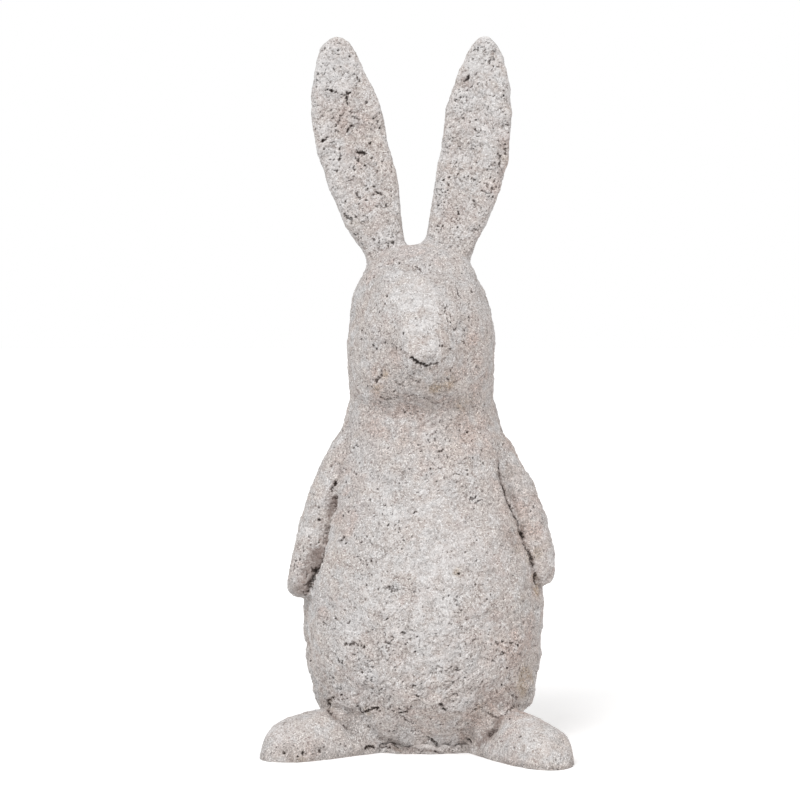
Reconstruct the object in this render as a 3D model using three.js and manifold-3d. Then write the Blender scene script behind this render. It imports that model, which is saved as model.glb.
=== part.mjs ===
// A standing garden rabbit, cast in coarse sandy cement and put together from dowelled castings.
// Millimetres, Z up. The rabbit looks along -Y, so its left side is at +X.

import * as THREE from 'three';
import { mergeVertices } from 'three/addons/utils/BufferGeometryUtils.js';
import Module from 'manifold-3d';

const wasm = await Module();
wasm.setup();

// Joints between castings, and between a steel pin and its hole
const MORTAR_GAP = 0.3;
const PIN_CLEARANCE = 0.3;
const PIN_END_CLEARANCE = 1;

// Main sizes. Each height is measured from the face that the piece stands on, and the ears' from
// the crown.
const SLAB_THICKNESS = 6;
const BODY_HEIGHT = 224;
const BODY_WIDTH = 161;
const BODY_DEPTH = 143;
const HEAD_HEIGHT = 105;
const HEAD_WIDTH = 98;
const HEAD_DEPTH = 108;
const EAR_HEIGHT = 141;
const EAR_WIDTH = 49;
const EAR_THICKNESS = 18;
const EAR_DISH = 3;
const ARM_WIDTH = 28;
const ARM_DEPTH = 35;
const FOOT_LENGTH = 105;
const FOOT_WIDTH = 42;
const FOOT_HEIGHT = 30;

// Muzzle, a ridge down the front of the head
const MUZZLE_PROUD = 17;
const MUZZLE_SPREAD = 22;
const MUZZLE_SQUARE = 2.6;

// Tail, a round tuft low on the back. Proud is how far it stands out of the body.
const TAIL = { height: 46, diameter: 42, proud: 20 };

// Unevenness left by shaping the skins by hand: waves of lumps, with the distance from one to the
// next and how far they stand out
const LUMPS = [
  { pitch: 74, proud: 0.6 },
  { pitch: 43, proud: 0.45 },
];

// Rounding of the free ends
const CROWN_ROUND = 16;
const EAR_TIP_ROUND = 9;
const SHOULDER_ROUND = 8;
const HAND_ROUND = 8;
const TOE_ROUND = 18;

// Hollow of the body
const WALL = 13;
const NECK_DECK = 32;
const FOOT_RING = 24;
const HOLLOW_TOP_ROUND = 24;

// Base slab
const SLAB_LIP = 4;
const SPIGOT_HEIGHT = 7;
const SPIGOT_CLEARANCE = 1.5;
const VENT_DIAMETER = 12;

// Steel pins. The depth is how far a pin sinks into the first of the two castings that it joins.
const NECK_DOWEL = { diameter: 10, length: 50, depth: 25 };
const NECK_DOWEL_SPREAD = 46;
const EAR_ROD = { diameter: 6, length: 96, depth: 40 };
const ARM_DOWEL = { diameter: 6, length: 17, depth: 9 };
const FOOT_DOWEL = { diameter: 8, length: 34, depth: 10 };
const FOOT_DOWEL_HEIGHT = 15;
const FOOT_DOWEL_SPREAD = 17;
const TAIL_DOWEL = { diameter: 8, length: 22, depth: 10 };
const BASE_PIN = { diameter: 5, length: 18, depth: 5 };

// Sections of the body, from its foot to its neck. The share is of its height, middle and across
// are shares of its width, and front and back, the reaches from the middle, are of its depth.
const BODY = [
  { share: 0, middle: 0.006, across: 0.696, front: 0.294, back: 0.322 },
  { share: 0.09, middle: 0.016, across: 0.876, front: 0.42, back: 0.42 },
  { share: 0.23, middle: 0.012, across: 0.981, front: 0.497, back: 0.476 },
  { share: 0.35, middle: 0.012, across: 1, front: 0.51, back: 0.49 },
  { share: 0.48, middle: 0.012, across: 0.975, front: 0.497, back: 0.476 },
  { share: 0.6, middle: 0.012, across: 0.901, front: 0.462, back: 0.441 },
  { share: 0.73, middle: 0.012, across: 0.795, front: 0.413, back: 0.399 },
  { share: 0.86, middle: 0.012, across: 0.702, front: 0.364, back: 0.371 },
  { share: 0.93, middle: 0.009, across: 0.652, front: 0.329, back: 0.357 },
  { share: 1, middle: 0.006, across: 0.615, front: 0.308, back: 0.35 },
];
const BODY_SQUARE = 2.2;

// Sections of the head, from the neck to the crown, in the same shares. The ridge is a share of
// how proud the muzzle stands.
const HEAD = [
  { share: 0, middle: 0.005, across: 0.969, front: 0.435, back: 0.463, square: 2.4, ridge: 0 },
  { share: 0.08, middle: 0.005, across: 1, front: 0.481, back: 0.481, square: 2.4, ridge: 0.18 },
  { share: 0.19, middle: 0.005, across: 1, front: 0.5, back: 0.5, square: 2.4, ridge: 0.7 },
  { share: 0.29, middle: 0.005, across: 0.995, front: 0.5, back: 0.5, square: 2.4, ridge: 1 },
  { share: 0.43, middle: 0.005, across: 0.99, front: 0.481, back: 0.491, square: 2.4, ridge: 1 },
  { share: 0.58, middle: 0, across: 0.959, front: 0.444, back: 0.472, square: 2.4, ridge: 0.7 },
  { share: 0.71, middle: -0.01, across: 0.888, front: 0.389, back: 0.426, square: 2.3, ridge: 0.35 },
  { share: 0.84, middle: -0.005, across: 0.745, front: 0.315, back: 0.352, square: 2.2, ridge: 0.06 },
  { share: 1, middle: 0, across: 0.673, front: 0.259, back: 0.296, square: 2.1, ridge: 0 },
];

// Sections of both ears, from under the crown to the tip. Rise and lean are shares of the ear's
// height, thick is one of its thickness and dish one of the hollow of its front.
const EAR = [
  { rise: -0.121, lean: -0.007, thick: 1, square: 2.6, dish: 0 },
  { rise: 0.007, lean: 0, thick: 1, square: 2.8, dish: 0 },
  { rise: 0.085, lean: 0.007, thick: 1, square: 3, dish: 0.33 },
  { rise: 0.234, lean: 0.014, thick: 1, square: 3, dish: 0.83 },
  { rise: 0.39, lean: 0.021, thick: 0.94, square: 3, dish: 1 },
  { rise: 0.546, lean: 0.028, thick: 0.89, square: 3, dish: 1 },
  { rise: 0.702, lean: 0.035, thick: 0.83, square: 3, dish: 0.83 },
  { rise: 0.858, lean: 0.043, thick: 0.78, square: 2.8, dish: 0.33 },
  { rise: 1, lean: 0.043, thick: 0.67, square: 2.4, dish: 0 },
];

// Where each ear differs. The root is in shares of the head's width and depth, the turn is inward,
// and then come each section's place outward from the root, in shares of the ear's height, and its
// width in shares of the ear's.
const EARS = {
  right: {
    root: [-0.25, 0.037],
    turn: 0,
    out: [-0.021, 0.004, 0.035, 0.078, 0.122, 0.168, 0.199, 0.217, 0.235],
    across: [0.551, 0.653, 0.745, 0.898, 0.973, 1, 0.898, 0.633, 0.3],
  },
  left: {
    root: [0.21, 0.037],
    turn: 15,
    out: [-0.022, -0.001, 0.017, 0.065, 0.104, 0.124, 0.142, 0.156, 0.163],
    across: [0.571, 0.694, 0.755, 0.857, 0.959, 0.969, 0.867, 0.633, 0.28],
  },
};

// Sections of both arms, from the shoulder to the hand. Forward is a share of the body's depth,
// across is one of the arm's width, and front and back are of the arm's depth.
const ARM = [
  { forward: 0.021, across: 0.571, front: 0.286, back: 0.343, square: 2.2 },
  { forward: 0.035, across: 0.75, front: 0.4, back: 0.429, square: 2.2 },
  { forward: 0.056, across: 0.893, front: 0.457, back: 0.457, square: 2.2 },
  { forward: 0.07, across: 1, front: 0.486, back: 0.486, square: 2.3 },
  { forward: 0.084, across: 1, front: 0.514, back: 0.486, square: 2.4 },
  { forward: 0.091, across: 0.929, front: 0.514, back: 0.457, square: 2.5 },
  { forward: 0.091, across: 0.786, front: 0.457, back: 0.4, square: 2.5 },
];

// Where each arm's sections lie: out from the middle, in shares of the body's width, and down from
// the neck, in shares of its height
const ARMS = {
  right: {
    side: -1,
    out: [0.239, 0.286, 0.329, 0.382, 0.432, 0.469, 0.491],
    down: [0.036, 0.112, 0.192, 0.29, 0.402, 0.5, 0.589],
  },
  left: {
    side: 1,
    out: [0.242, 0.292, 0.342, 0.401, 0.453, 0.48, 0.471],
    down: [0.036, 0.112, 0.192, 0.29, 0.402, 0.487, 0.548],
  },
};
const ARM_DOWEL_DOWN = { upper: 0.29, lower: 0.47 };

// Sections of both feet, from the heel to the toe, in shares of the foot's length, width and height
const FOOT = [
  { share: 0, across: 0.881, top: 0.967 },
  { share: 0.25, across: 0.976, top: 1 },
  { share: 0.55, across: 1, top: 0.933 },
  { share: 0.8, across: 0.929, top: 0.8 },
  { share: 1, across: 0.738, top: 0.6 },
];
const FOOT_SQUARE = 2.6;

// Where each foot lies. The heel is under the body, in shares of the body's width and depth, and
// the splay is the turn outward from straight ahead.
const FEET = {
  right: { side: -1, heel: [-0.137, -0.098], splay: 57, reach: 0.924 },
  left: { side: 1, heel: [0.205, -0.063], splay: 33, reach: 1 },
};

// Fineness of the castings and of the steel
const BODY_SIDES = 36;
const BODY_RINGS = 24;
const HOLLOW_LEVELS = 16;
const LIMB_SIDES = 20;
const LIMB_RINGS = 16;
const STEEL_SIDES = 16;

// Working values: the step that finds a loft's direction, as a share of its length, the opening
// under which an end is a point, the distance that joins two vertices, and the last step of a search
const DIRECTION_STEP = 0.002;
const POINTED = 1e-6;
const SAME_VERTEX = 1e-4;
const SEARCH_STEP = 0.01;

const cement = new THREE.MeshStandardMaterial({ color: 0xc4bbb6, roughness: 0.95, metalness: 0 });
const steel = new THREE.MeshStandardMaterial({ color: 0x8f9296, roughness: 0.4, metalness: 1 });

const UP = new THREE.Vector3(0, 0, 1);
const FORWARD = new THREE.Vector3(0, -1, 0);

const bodyFoot = SLAB_THICKNESS + MORTAR_GAP;
const neckHeight = bodyFoot + BODY_HEIGHT;
const headFoot = neckHeight + MORTAR_GAP;
const crownHeight = headFoot + HEAD_HEIGHT;

// A point on the edge of a section: a superellipse with its own reach to the front and the back
function sectionPoint(section, angle) {
  const power = 2 / section.square;
  const side = Math.sign(Math.cos(angle)) * Math.abs(Math.cos(angle)) ** power;
  const depth = Math.sign(Math.sin(angle)) * Math.abs(Math.sin(angle)) ** power;
  const across = (side * section.across) / 2;
  if (depth > 0) {
    return { across, forward: -depth * section.back };
  }
  const ridge = section.ridge * Math.exp(-(Math.abs(across / MUZZLE_SPREAD) ** MUZZLE_SQUARE));
  const dish = section.dish * (1 - side ** 2);
  return { across, forward: -depth * (section.front + ridge - dish) };
}

// Every value of the stations, interpolated smoothly by the distance along their middle line
function stationCurve(stations) {
  const distances = [0];
  for (let i = 1; i < stations.length; i += 1) {
    const step = stations[i].at.distanceTo(stations[i - 1].at);
    distances.push(distances[i - 1] + step);
  }
  const values = stations.flatMap((s) => {
    return [...s.at, s.across, s.front, s.back, s.square, s.ridge ?? 0, s.dish ?? 0];
  });
  const curve = new THREE.CubicInterpolant(distances, values, values.length / stations.length);
  const sectionAt = (distance) => {
    const [x, y, z, across, front, back, square, ridge, dish] = curve.evaluate(distance);
    return { at: new THREE.Vector3(x, y, z), across, front, back, square, ridge, dish };
  };
  return { length: distances[distances.length - 1], sectionAt };
}

// How far a rounded end has opened, at this distance from it
function opening(distance, round) {
  return distance >= round ? 1 : Math.sqrt(Math.max(0, 1 - (1 - distance / round) ** 2));
}

// How far the skin stands out at a place, or in where it is negative
function unevenness(place) {
  return LUMPS.reduce((total, { pitch, proud }) => {
    const [x, y, z] = place.clone().multiplyScalar((2 * Math.PI) / pitch);
    const wave = Math.sin(x) * Math.cos(y) + Math.sin(y) * Math.cos(z) + Math.sin(z) * Math.cos(x);
    return total + proud * wave;
  }, 0);
}

// One closed skin through rings of points, with a middle point at each end
function skin(rings, start, end) {
  const sides = rings[0].length;
  const points = [start, ...rings.flat(), end];
  const last = points.length - 1;
  const top = last - sides;
  const index = [];
  for (let j = 0; j < sides; j += 1) {
    const next = (j + 1) % sides;
    index.push(0, 1 + next, 1 + j);
    index.push(top + j, top + next, last);
    for (let low = 1; low < top; low += sides) {
      const high = low + sides;
      index.push(low + j, low + next, high + next);
      index.push(low + j, high + next, high + j);
    }
  }
  const position = new THREE.Float32BufferAttribute(points.flatMap((p) => [...p]), 3);
  const geometry = new THREE.BufferGeometry();
  geometry.setAttribute('position', position);
  geometry.setIndex(index);
  return geometry;
}

function middleOf(points) {
  const sum = points.reduce((total, point) => total.add(point), new THREE.Vector3());
  return sum.divideScalar(points.length);
}

// A closed body through its stations. A level one keeps its sections horizontal, and a smooth one
// has no lumps. Growing it moves the whole skin outward, so that it cuts a neighbour with a gap
// between them.
function loft(form, grow = 0) {
  const { length, sectionAt } = stationCurve(form.stations);
  const nudge = length * DIRECTION_STEP;
  const rings = [];
  let start = null;
  let end = null;
  for (let i = 0; i <= form.rings; i += 1) {
    const distance = (length * (1 - Math.cos((Math.PI * i) / form.rings))) / 2;
    const section = sectionAt(distance);
    const ahead = sectionAt(Math.min(distance + nudge, length)).at;
    const behind = sectionAt(Math.max(distance - nudge, 0)).at;
    const along = form.level ? UP : ahead.sub(behind).normalize();
    const forward = form.front.clone().addScaledVector(along, -form.front.dot(along)).normalize();
    const sideways = along.clone().cross(forward);
    const isFirst = i === 0;
    const isLast = i === form.rings;
    const middle = section.at.clone().addScaledVector(along, isFirst ? -grow : isLast ? grow : 0);
    const open = opening(distance, form.startRound) * opening(length - distance, form.endRound);
    const ring = [];
    for (let j = 0; j < form.sides; j += 1) {
      const point = sectionPoint(section, (2 * Math.PI * j) / form.sides);
      const reach = sideways.clone().multiplyScalar(point.across);
      reach.addScaledVector(forward, point.forward);
      const place = section.at.clone().addScaledVector(reach, open);
      const lump = form.smooth ? 0 : open * unevenness(place);
      ring.push(middle.clone().addScaledVector(reach, open + (grow + lump) / reach.length()));
    }
    const pointed = open < POINTED;
    if (isFirst) {
      start = pointed ? middle : middleOf(ring);
    }
    if (isLast) {
      end = pointed ? middle : middleOf(ring);
    }
    if (!pointed) {
      rings.push(ring);
    }
  }
  return solid(skin(rings, start, end));
}

// Solid of a closed geometry
function solid(geometry) {
  const bare = geometry.clone();
  bare.deleteAttribute('normal');
  bare.deleteAttribute('uv');
  const merged = mergeVertices(bare, SAME_VERTEX);
  const vertProperties = new Float32Array(merged.attributes.position.array);
  const triVerts = new Uint32Array(merged.index.array);
  return new wasm.Manifold(new wasm.Mesh({ numProp: 3, vertProperties, triVerts }));
}

function cylinder(diameter, length, middle, direction) {
  const geometry = new THREE.CylinderGeometry(diameter / 2, diameter / 2, length, STEEL_SIDES);
  const turn = new THREE.Quaternion().setFromUnitVectors(new THREE.Vector3(0, 1, 0), direction);
  geometry.applyQuaternion(turn);
  geometry.translate(...middle);
  return geometry;
}

// A flat plate with the outline of a level section, between two heights
function plate(section, inset, bottom, top) {
  const shape = new THREE.Shape();
  for (let j = 0; j < BODY_SIDES; j += 1) {
    const point = sectionPoint(section, (2 * Math.PI * j) / BODY_SIDES);
    const scale = 1 - inset / Math.hypot(point.across, point.forward);
    const x = section.at.x + point.across * scale;
    const y = section.at.y - point.forward * scale;
    if (j === 0) {
      shape.moveTo(x, y);
    } else {
      shape.lineTo(x, y);
    }
  }
  const geometry = new THREE.ExtrudeGeometry(shape, { depth: top - bottom, bevelEnabled: false });
  geometry.translate(0, 0, bottom);
  return solid(geometry);
}

const castings = {};
const pins = [];

// A steel pin through a joint, which also bores its hole in both castings
function addPin(name, size, joint, direction, joined) {
  const middle = joint.clone().addScaledVector(direction, size.length / 2 - size.depth);
  pins.push({ name, size, middle, direction });
  const boreDiameter = size.diameter + 2 * PIN_CLEARANCE;
  const boreLength = size.length + 2 * PIN_END_CLEARANCE;
  const bore = solid(cylinder(boreDiameter, boreLength, middle, direction));
  for (const casting of joined) {
    castings[casting] = castings[casting].subtract(bore);
  }
}

// Level stations of the body or the head, above its foot
function levelStations(sections, foot, height, width, depth) {
  return sections.map((section) => {
    return {
      at: new THREE.Vector3(section.middle * width, 0, foot + section.share * height),
      across: section.across * width,
      front: section.front * depth,
      back: section.back * depth,
      square: section.square ?? BODY_SQUARE,
      ridge: (section.ridge ?? 0) * MUZZLE_PROUD,
    };
  });
}

const bodyForm = {
  stations: levelStations(BODY, bodyFoot, BODY_HEIGHT, BODY_WIDTH, BODY_DEPTH),
  front: FORWARD,
  level: true,
  sides: BODY_SIDES,
  rings: BODY_RINGS,
  startRound: 0,
  endRound: 0,
};
const bodyCurve = stationCurve(bodyForm.stations);
const bodyGrown = loft(bodyForm, MORTAR_GAP);

// The body's section at a height above the ground
function bodySection(height) {
  return bodyCurve.sectionAt(height - bodyFoot);
}

// Where a level line leaves the body, found by halving the step to its skin
function bodyCrossing(start, direction) {
  const section = bodySection(start.z);
  const point = start.clone();
  for (let step = section.across; step > SEARCH_STEP; step /= 2) {
    const next = point.clone().addScaledVector(direction, step);
    const depth = next.y < 0 ? section.front : section.back;
    const wide = Math.abs((2 * (next.x - section.at.x)) / section.across) ** section.square;
    const deep = Math.abs(next.y / depth) ** section.square;
    if (wide + deep < 1) {
      point.copy(next);
    }
  }
  return point;
}

// Body: the skin less its hollow, which is open at the foot and closed by the deck under the neck.
// Inside the foot ring the hollow stays as narrow as its mouth.
function makeBody() {
  const hollowHeight = BODY_HEIGHT - NECK_DECK;
  const stations = [];
  for (let i = 0; i <= HOLLOW_LEVELS; i += 1) {
    const rise = (hollowHeight * i) / HOLLOW_LEVELS;
    const section = bodyCurve.sectionAt(rise <= FOOT_RING ? 0 : rise);
    section.at.z = bodyFoot + rise;
    section.across -= 2 * WALL;
    section.front -= WALL;
    section.back -= WALL;
    stations.push(section);
  }
  stations[0].at.z -= MORTAR_GAP;
  const inside = { rings: BODY_RINGS / 2, endRound: HOLLOW_TOP_ROUND, smooth: true };
  const hollow = loft({ ...bodyForm, ...inside, stations });
  castings.torso_shell = loft(bodyForm).subtract(hollow);
}

function makeHead() {
  const form = {
    ...bodyForm,
    stations: levelStations(HEAD, headFoot, HEAD_HEIGHT, HEAD_WIDTH, HEAD_DEPTH),
    endRound: CROWN_ROUND,
  };
  castings.head = loft(form);
  const side = new THREE.Vector3(NECK_DOWEL_SPREAD / 2, 0, 0);
  const neck = new THREE.Vector3(0, 0, neckHeight);
  addPin('left_neck_dowel', NECK_DOWEL, neck.clone().add(side), UP, ['torso_shell', 'head']);
  addPin('right_neck_dowel', NECK_DOWEL, neck.clone().sub(side), UP, ['torso_shell', 'head']);
  return loft(form, MORTAR_GAP);
}

// An ear, cut to the crown that it stands on, with a rod along its middle
function makeEar(side, headGrown) {
  const { root, turn, out, across } = EARS[side];
  const anchor = new THREE.Vector3(root[0] * HEAD_WIDTH, root[1] * HEAD_DEPTH, crownHeight);
  const stations = EAR.map((section, i) => {
    const reach = new THREE.Vector3(Math.sign(root[0]) * out[i], section.lean, section.rise);
    const half = (section.thick * EAR_THICKNESS) / 2;
    return {
      at: anchor.clone().addScaledVector(reach, EAR_HEIGHT),
      across: across[i] * EAR_WIDTH,
      front: half,
      back: half,
      square: section.square,
      dish: section.dish * EAR_DISH,
    };
  });
  const form = {
    stations,
    front: FORWARD.clone().applyAxisAngle(UP, -THREE.MathUtils.degToRad(turn)),
    sides: LIMB_SIDES,
    rings: LIMB_RINGS,
    startRound: 0,
    endRound: EAR_TIP_ROUND,
  };
  castings[`${side}_ear`] = loft(form).subtract(headGrown);
  const joint = stations[1].at;
  const rodTop = stationCurve(stations).sectionAt(EAR_ROD.length - EAR_ROD.depth).at;
  const direction = rodTop.sub(joint).normalize();
  addPin(`${side}_ear_rod`, EAR_ROD, joint, direction, ['head', `${side}_ear`]);
}

// An arm, cut to the flank that it lies on, with two dowels through the body's wall
function makeArm(name) {
  const { side, out, down } = ARMS[name];
  const stations = ARM.map((section, i) => {
    const height = neckHeight - down[i] * BODY_HEIGHT;
    return {
      at: new THREE.Vector3(side * out[i] * BODY_WIDTH, -section.forward * BODY_DEPTH, height),
      across: section.across * ARM_WIDTH,
      front: section.front * ARM_DEPTH,
      back: section.back * ARM_DEPTH,
      square: section.square,
    };
  });
  const form = {
    stations,
    front: FORWARD,
    sides: LIMB_SIDES,
    rings: LIMB_RINGS,
    startRound: SHOULDER_ROUND,
    endRound: HAND_ROUND,
  };
  castings[`${name}_arm`] = loft(form).subtract(bodyGrown);
  const outward = new THREE.Vector3(side, 0, 0);
  const curve = stationCurve(stations);
  for (const [place, share] of Object.entries(ARM_DOWEL_DOWN)) {
    const drop = share * BODY_HEIGHT;
    const joint = bodyCrossing(curve.sectionAt(drop).at.setX(0).setZ(neckHeight - drop), outward);
    const joined = ['torso_shell', `${name}_arm`];
    addPin(`${name}_${place}_arm_dowel`, ARM_DOWEL, joint, outward, joined);
  }
}

// A foot, cut to the body and the slab, flat on the ground, with two dowels into the body's wall
function makeFoot(name, slabGrown) {
  const { side, heel, splay, reach } = FEET[name];
  const outward = FORWARD.clone().applyAxisAngle(UP, side * THREE.MathUtils.degToRad(splay));
  const start = new THREE.Vector3(heel[0] * BODY_WIDTH, heel[1] * BODY_DEPTH, 0);
  const stations = FOOT.map((section) => {
    const top = section.top * FOOT_HEIGHT;
    return {
      at: start.clone().addScaledVector(outward, section.share * reach * FOOT_LENGTH),
      across: section.across * FOOT_WIDTH,
      front: top,
      back: top,
      square: FOOT_SQUARE,
    };
  });
  const form = {
    stations,
    front: UP,
    sides: 2 * LIMB_SIDES,
    rings: LIMB_RINGS,
    startRound: 0,
    endRound: TOE_ROUND,
  };
  const groundWidth = 4 * FOOT_LENGTH;
  const ground = new THREE.BoxGeometry(groundWidth, groundWidth, 2 * FOOT_HEIGHT);
  ground.translate(0, 0, -FOOT_HEIGHT);
  const foot = loft(form).subtract(solid(ground));
  castings[`${name}_foot`] = foot.subtract(bodyGrown).subtract(slabGrown);
  const inward = outward.clone().cross(UP).multiplyScalar(side);
  for (const [place, hand] of [['inner', 1], ['outer', -1]]) {
    const beside = start.clone().addScaledVector(inward, (hand * FOOT_DOWEL_SPREAD) / 2);
    const joint = bodyCrossing(beside.setZ(FOOT_DOWEL_HEIGHT), outward);
    const joined = ['torso_shell', `${name}_foot`];
    addPin(`${name}_${place}_foot_dowel`, FOOT_DOWEL, joint, outward, joined);
  }
}

function makeTail() {
  const back = bodySection(TAIL.height);
  const radius = TAIL.diameter / 2;
  const tuft = new THREE.SphereGeometry(radius, LIMB_SIDES, LIMB_RINGS / 2);
  tuft.rotateX(Math.PI / 2);
  tuft.translate(back.at.x, back.back + TAIL.proud - radius, TAIL.height);
  castings.tail = solid(tuft).subtract(bodyGrown);
  const joint = new THREE.Vector3(back.at.x, back.back, TAIL.height);
  addPin('tail_dowel', TAIL_DOWEL, joint, new THREE.Vector3(0, 1, 0), ['torso_shell', 'tail']);
}

// Slab under the body, with a spigot inside the hollow and a vent through both
function makeSlab() {
  const foot = bodySection(bodyFoot);
  const ledge = plate(foot, -SLAB_LIP, 0, SLAB_THICKNESS);
  const spigotTop = SLAB_THICKNESS + SPIGOT_HEIGHT;
  const spigot = plate(foot, WALL + SPIGOT_CLEARANCE, SLAB_THICKNESS / 2, spigotTop);
  const ventMiddle = new THREE.Vector3(foot.at.x, foot.at.y, spigotTop / 2);
  const vent = solid(cylinder(VENT_DIAMETER, 2 * spigotTop, ventMiddle, UP));
  castings.base_slab = ledge.add(spigot).subtract(vent);
  const joined = ['base_slab', 'torso_shell'];
  const front = new THREE.Vector3(foot.at.x, WALL / 2 - foot.front, SLAB_THICKNESS);
  const rear = new THREE.Vector3(foot.at.x, foot.back - WALL / 2, SLAB_THICKNESS);
  addPin('front_base_pin', BASE_PIN, front, UP, joined);
  addPin('rear_base_pin', BASE_PIN, rear, UP, joined);
  return plate(foot, -SLAB_LIP - MORTAR_GAP, -MORTAR_GAP, SLAB_THICKNESS + MORTAR_GAP);
}

makeBody();
const headGrown = makeHead();
makeEar('left', headGrown);
makeEar('right', headGrown);
makeArm('left');
makeArm('right');
const slabGrown = makeSlab();
makeFoot('left', slabGrown);
makeFoot('right', slabGrown);
makeTail();

const figure = new THREE.Group();

for (const [name, body] of Object.entries(castings)) {
  const mesh = body.getMesh();
  const geometry = new THREE.BufferGeometry();
  geometry.setAttribute('position', new THREE.BufferAttribute(mesh.vertProperties, 3));
  geometry.setIndex(new THREE.BufferAttribute(mesh.triVerts, 1));
  geometry.computeVertexNormals();
  const casting = new THREE.Mesh(geometry, cement);
  casting.name = name;
  figure.add(casting);
}

for (const { name, size, middle, direction } of pins) {
  const pin = new THREE.Mesh(cylinder(size.diameter, size.length, middle, direction), steel);
  pin.name = name;
  figure.add(pin);
}

// The origin is the middle of the figure's foot
const box = new THREE.Box3().setFromObject(figure);
const middle = box.getCenter(new THREE.Vector3());
figure.position.set(-middle.x, -middle.y, -box.min.z);

export default figure;
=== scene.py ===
"""A standing garden rabbit cast in coarse sandy cement.

The castings are fused into one skin, so that their joints read as one modelled surface, worked
over with dents, flakes, cracks and air pits, and cut again into the same separate castings.
Sizes are in metres unless a name says otherwise. The rabbit looks along -Y, and its left side is
at +X.
"""

import math
import random

import bmesh
import bpy
import numpy as np
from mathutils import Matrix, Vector, noise
from mathutils.bvhtree import BVHTree
from mathutils.kdtree import KDTree


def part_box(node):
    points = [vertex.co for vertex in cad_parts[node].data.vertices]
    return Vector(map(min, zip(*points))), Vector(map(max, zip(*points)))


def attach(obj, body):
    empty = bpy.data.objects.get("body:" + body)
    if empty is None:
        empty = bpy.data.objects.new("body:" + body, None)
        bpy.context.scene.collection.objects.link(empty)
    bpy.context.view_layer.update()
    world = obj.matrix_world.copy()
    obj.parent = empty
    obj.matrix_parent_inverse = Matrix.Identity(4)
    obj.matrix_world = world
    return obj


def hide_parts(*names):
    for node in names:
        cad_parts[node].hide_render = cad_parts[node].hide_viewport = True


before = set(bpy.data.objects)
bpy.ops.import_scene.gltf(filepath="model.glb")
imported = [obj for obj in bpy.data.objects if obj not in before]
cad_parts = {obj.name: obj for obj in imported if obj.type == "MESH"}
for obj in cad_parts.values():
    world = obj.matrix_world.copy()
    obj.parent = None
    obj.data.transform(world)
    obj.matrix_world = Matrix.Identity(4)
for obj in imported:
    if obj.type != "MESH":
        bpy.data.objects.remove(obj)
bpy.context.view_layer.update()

MM = 0.001
UP = Vector((0, 0, 1))


def add_object(name, data):
    obj = bpy.data.objects.new(name, data)
    bpy.context.scene.collection.objects.link(obj)
    return obj


# Camera

FRAME = 800
SENSOR = 36.0
LENS = 103.3
NEAREST = 0.1
FARTHEST = 100
EYE = Vector((-0.0103, -1.540, 0.300))
AIM = Vector((-0.0103, 0.0, 0.2318))


def make_camera():
    data = bpy.data.cameras.new("camera")
    data.sensor_width = SENSOR
    data.lens = LENS
    data.clip_start = NEAREST
    data.clip_end = FARTHEST
    camera = add_object("camera", data)
    camera.location = EYE
    camera.rotation_mode = "QUATERNION"
    camera.rotation_quaternion = (AIM - EYE).to_track_quat("-Z", "Y")
    bpy.context.scene.camera = camera


def sight(u, v):
    """Direction from the camera through a place in the frame, in pixels from its upper left."""
    forward = (AIM - EYE).normalized()
    right = forward.cross(UP).normalized()
    up = right.cross(forward)
    focal = LENS / SENSOR * FRAME
    return (forward * focal + right * (u - FRAME / 2) + up * (FRAME / 2 - v)).normalized()


make_camera()

# The castings that are cut from one worked skin, and the slab, which stays apart
NAMES = [
    "torso_shell", "head", "left_ear", "right_ear", "left_arm", "right_arm", "left_foot", "right_foot",
    "tail",
]
SLAB = "base_slab"

# Heights and places that the castings give
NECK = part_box("torso_shell")[1][2]
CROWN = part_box("head")[1][2]
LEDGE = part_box("torso_shell")[0][2]
TAIL_LOW, TAIL_HIGH = [Vector(corner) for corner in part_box("tail")]
TAIL_MIDDLE = (TAIL_LOW + TAIL_HIGH) / 2
TAIL_RADIUS = (TAIL_HIGH.x - TAIL_LOW.x) / 2

# Places on the front that are rounded off: place in the frame, reach in mm and rounds of smoothing
ROUNDED = [
    # valley between the ears
    (412, 249, 9, 240),
    # where the belly runs into the feet
    (497, 713, 8, 200), (484, 726, 7, 160), (477, 740, 7, 160), (336, 717, 6, 120), (347, 727, 8, 200),
    (359, 735, 7, 160),
]

# Stretches of the joint above the slab that stand open: place in the frame and reach in mm
OPEN_JOINT = [(371, 746, 4), (382, 746, 3), (396, 745, 5), (408, 745, 3), (436, 747, 3)]

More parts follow.
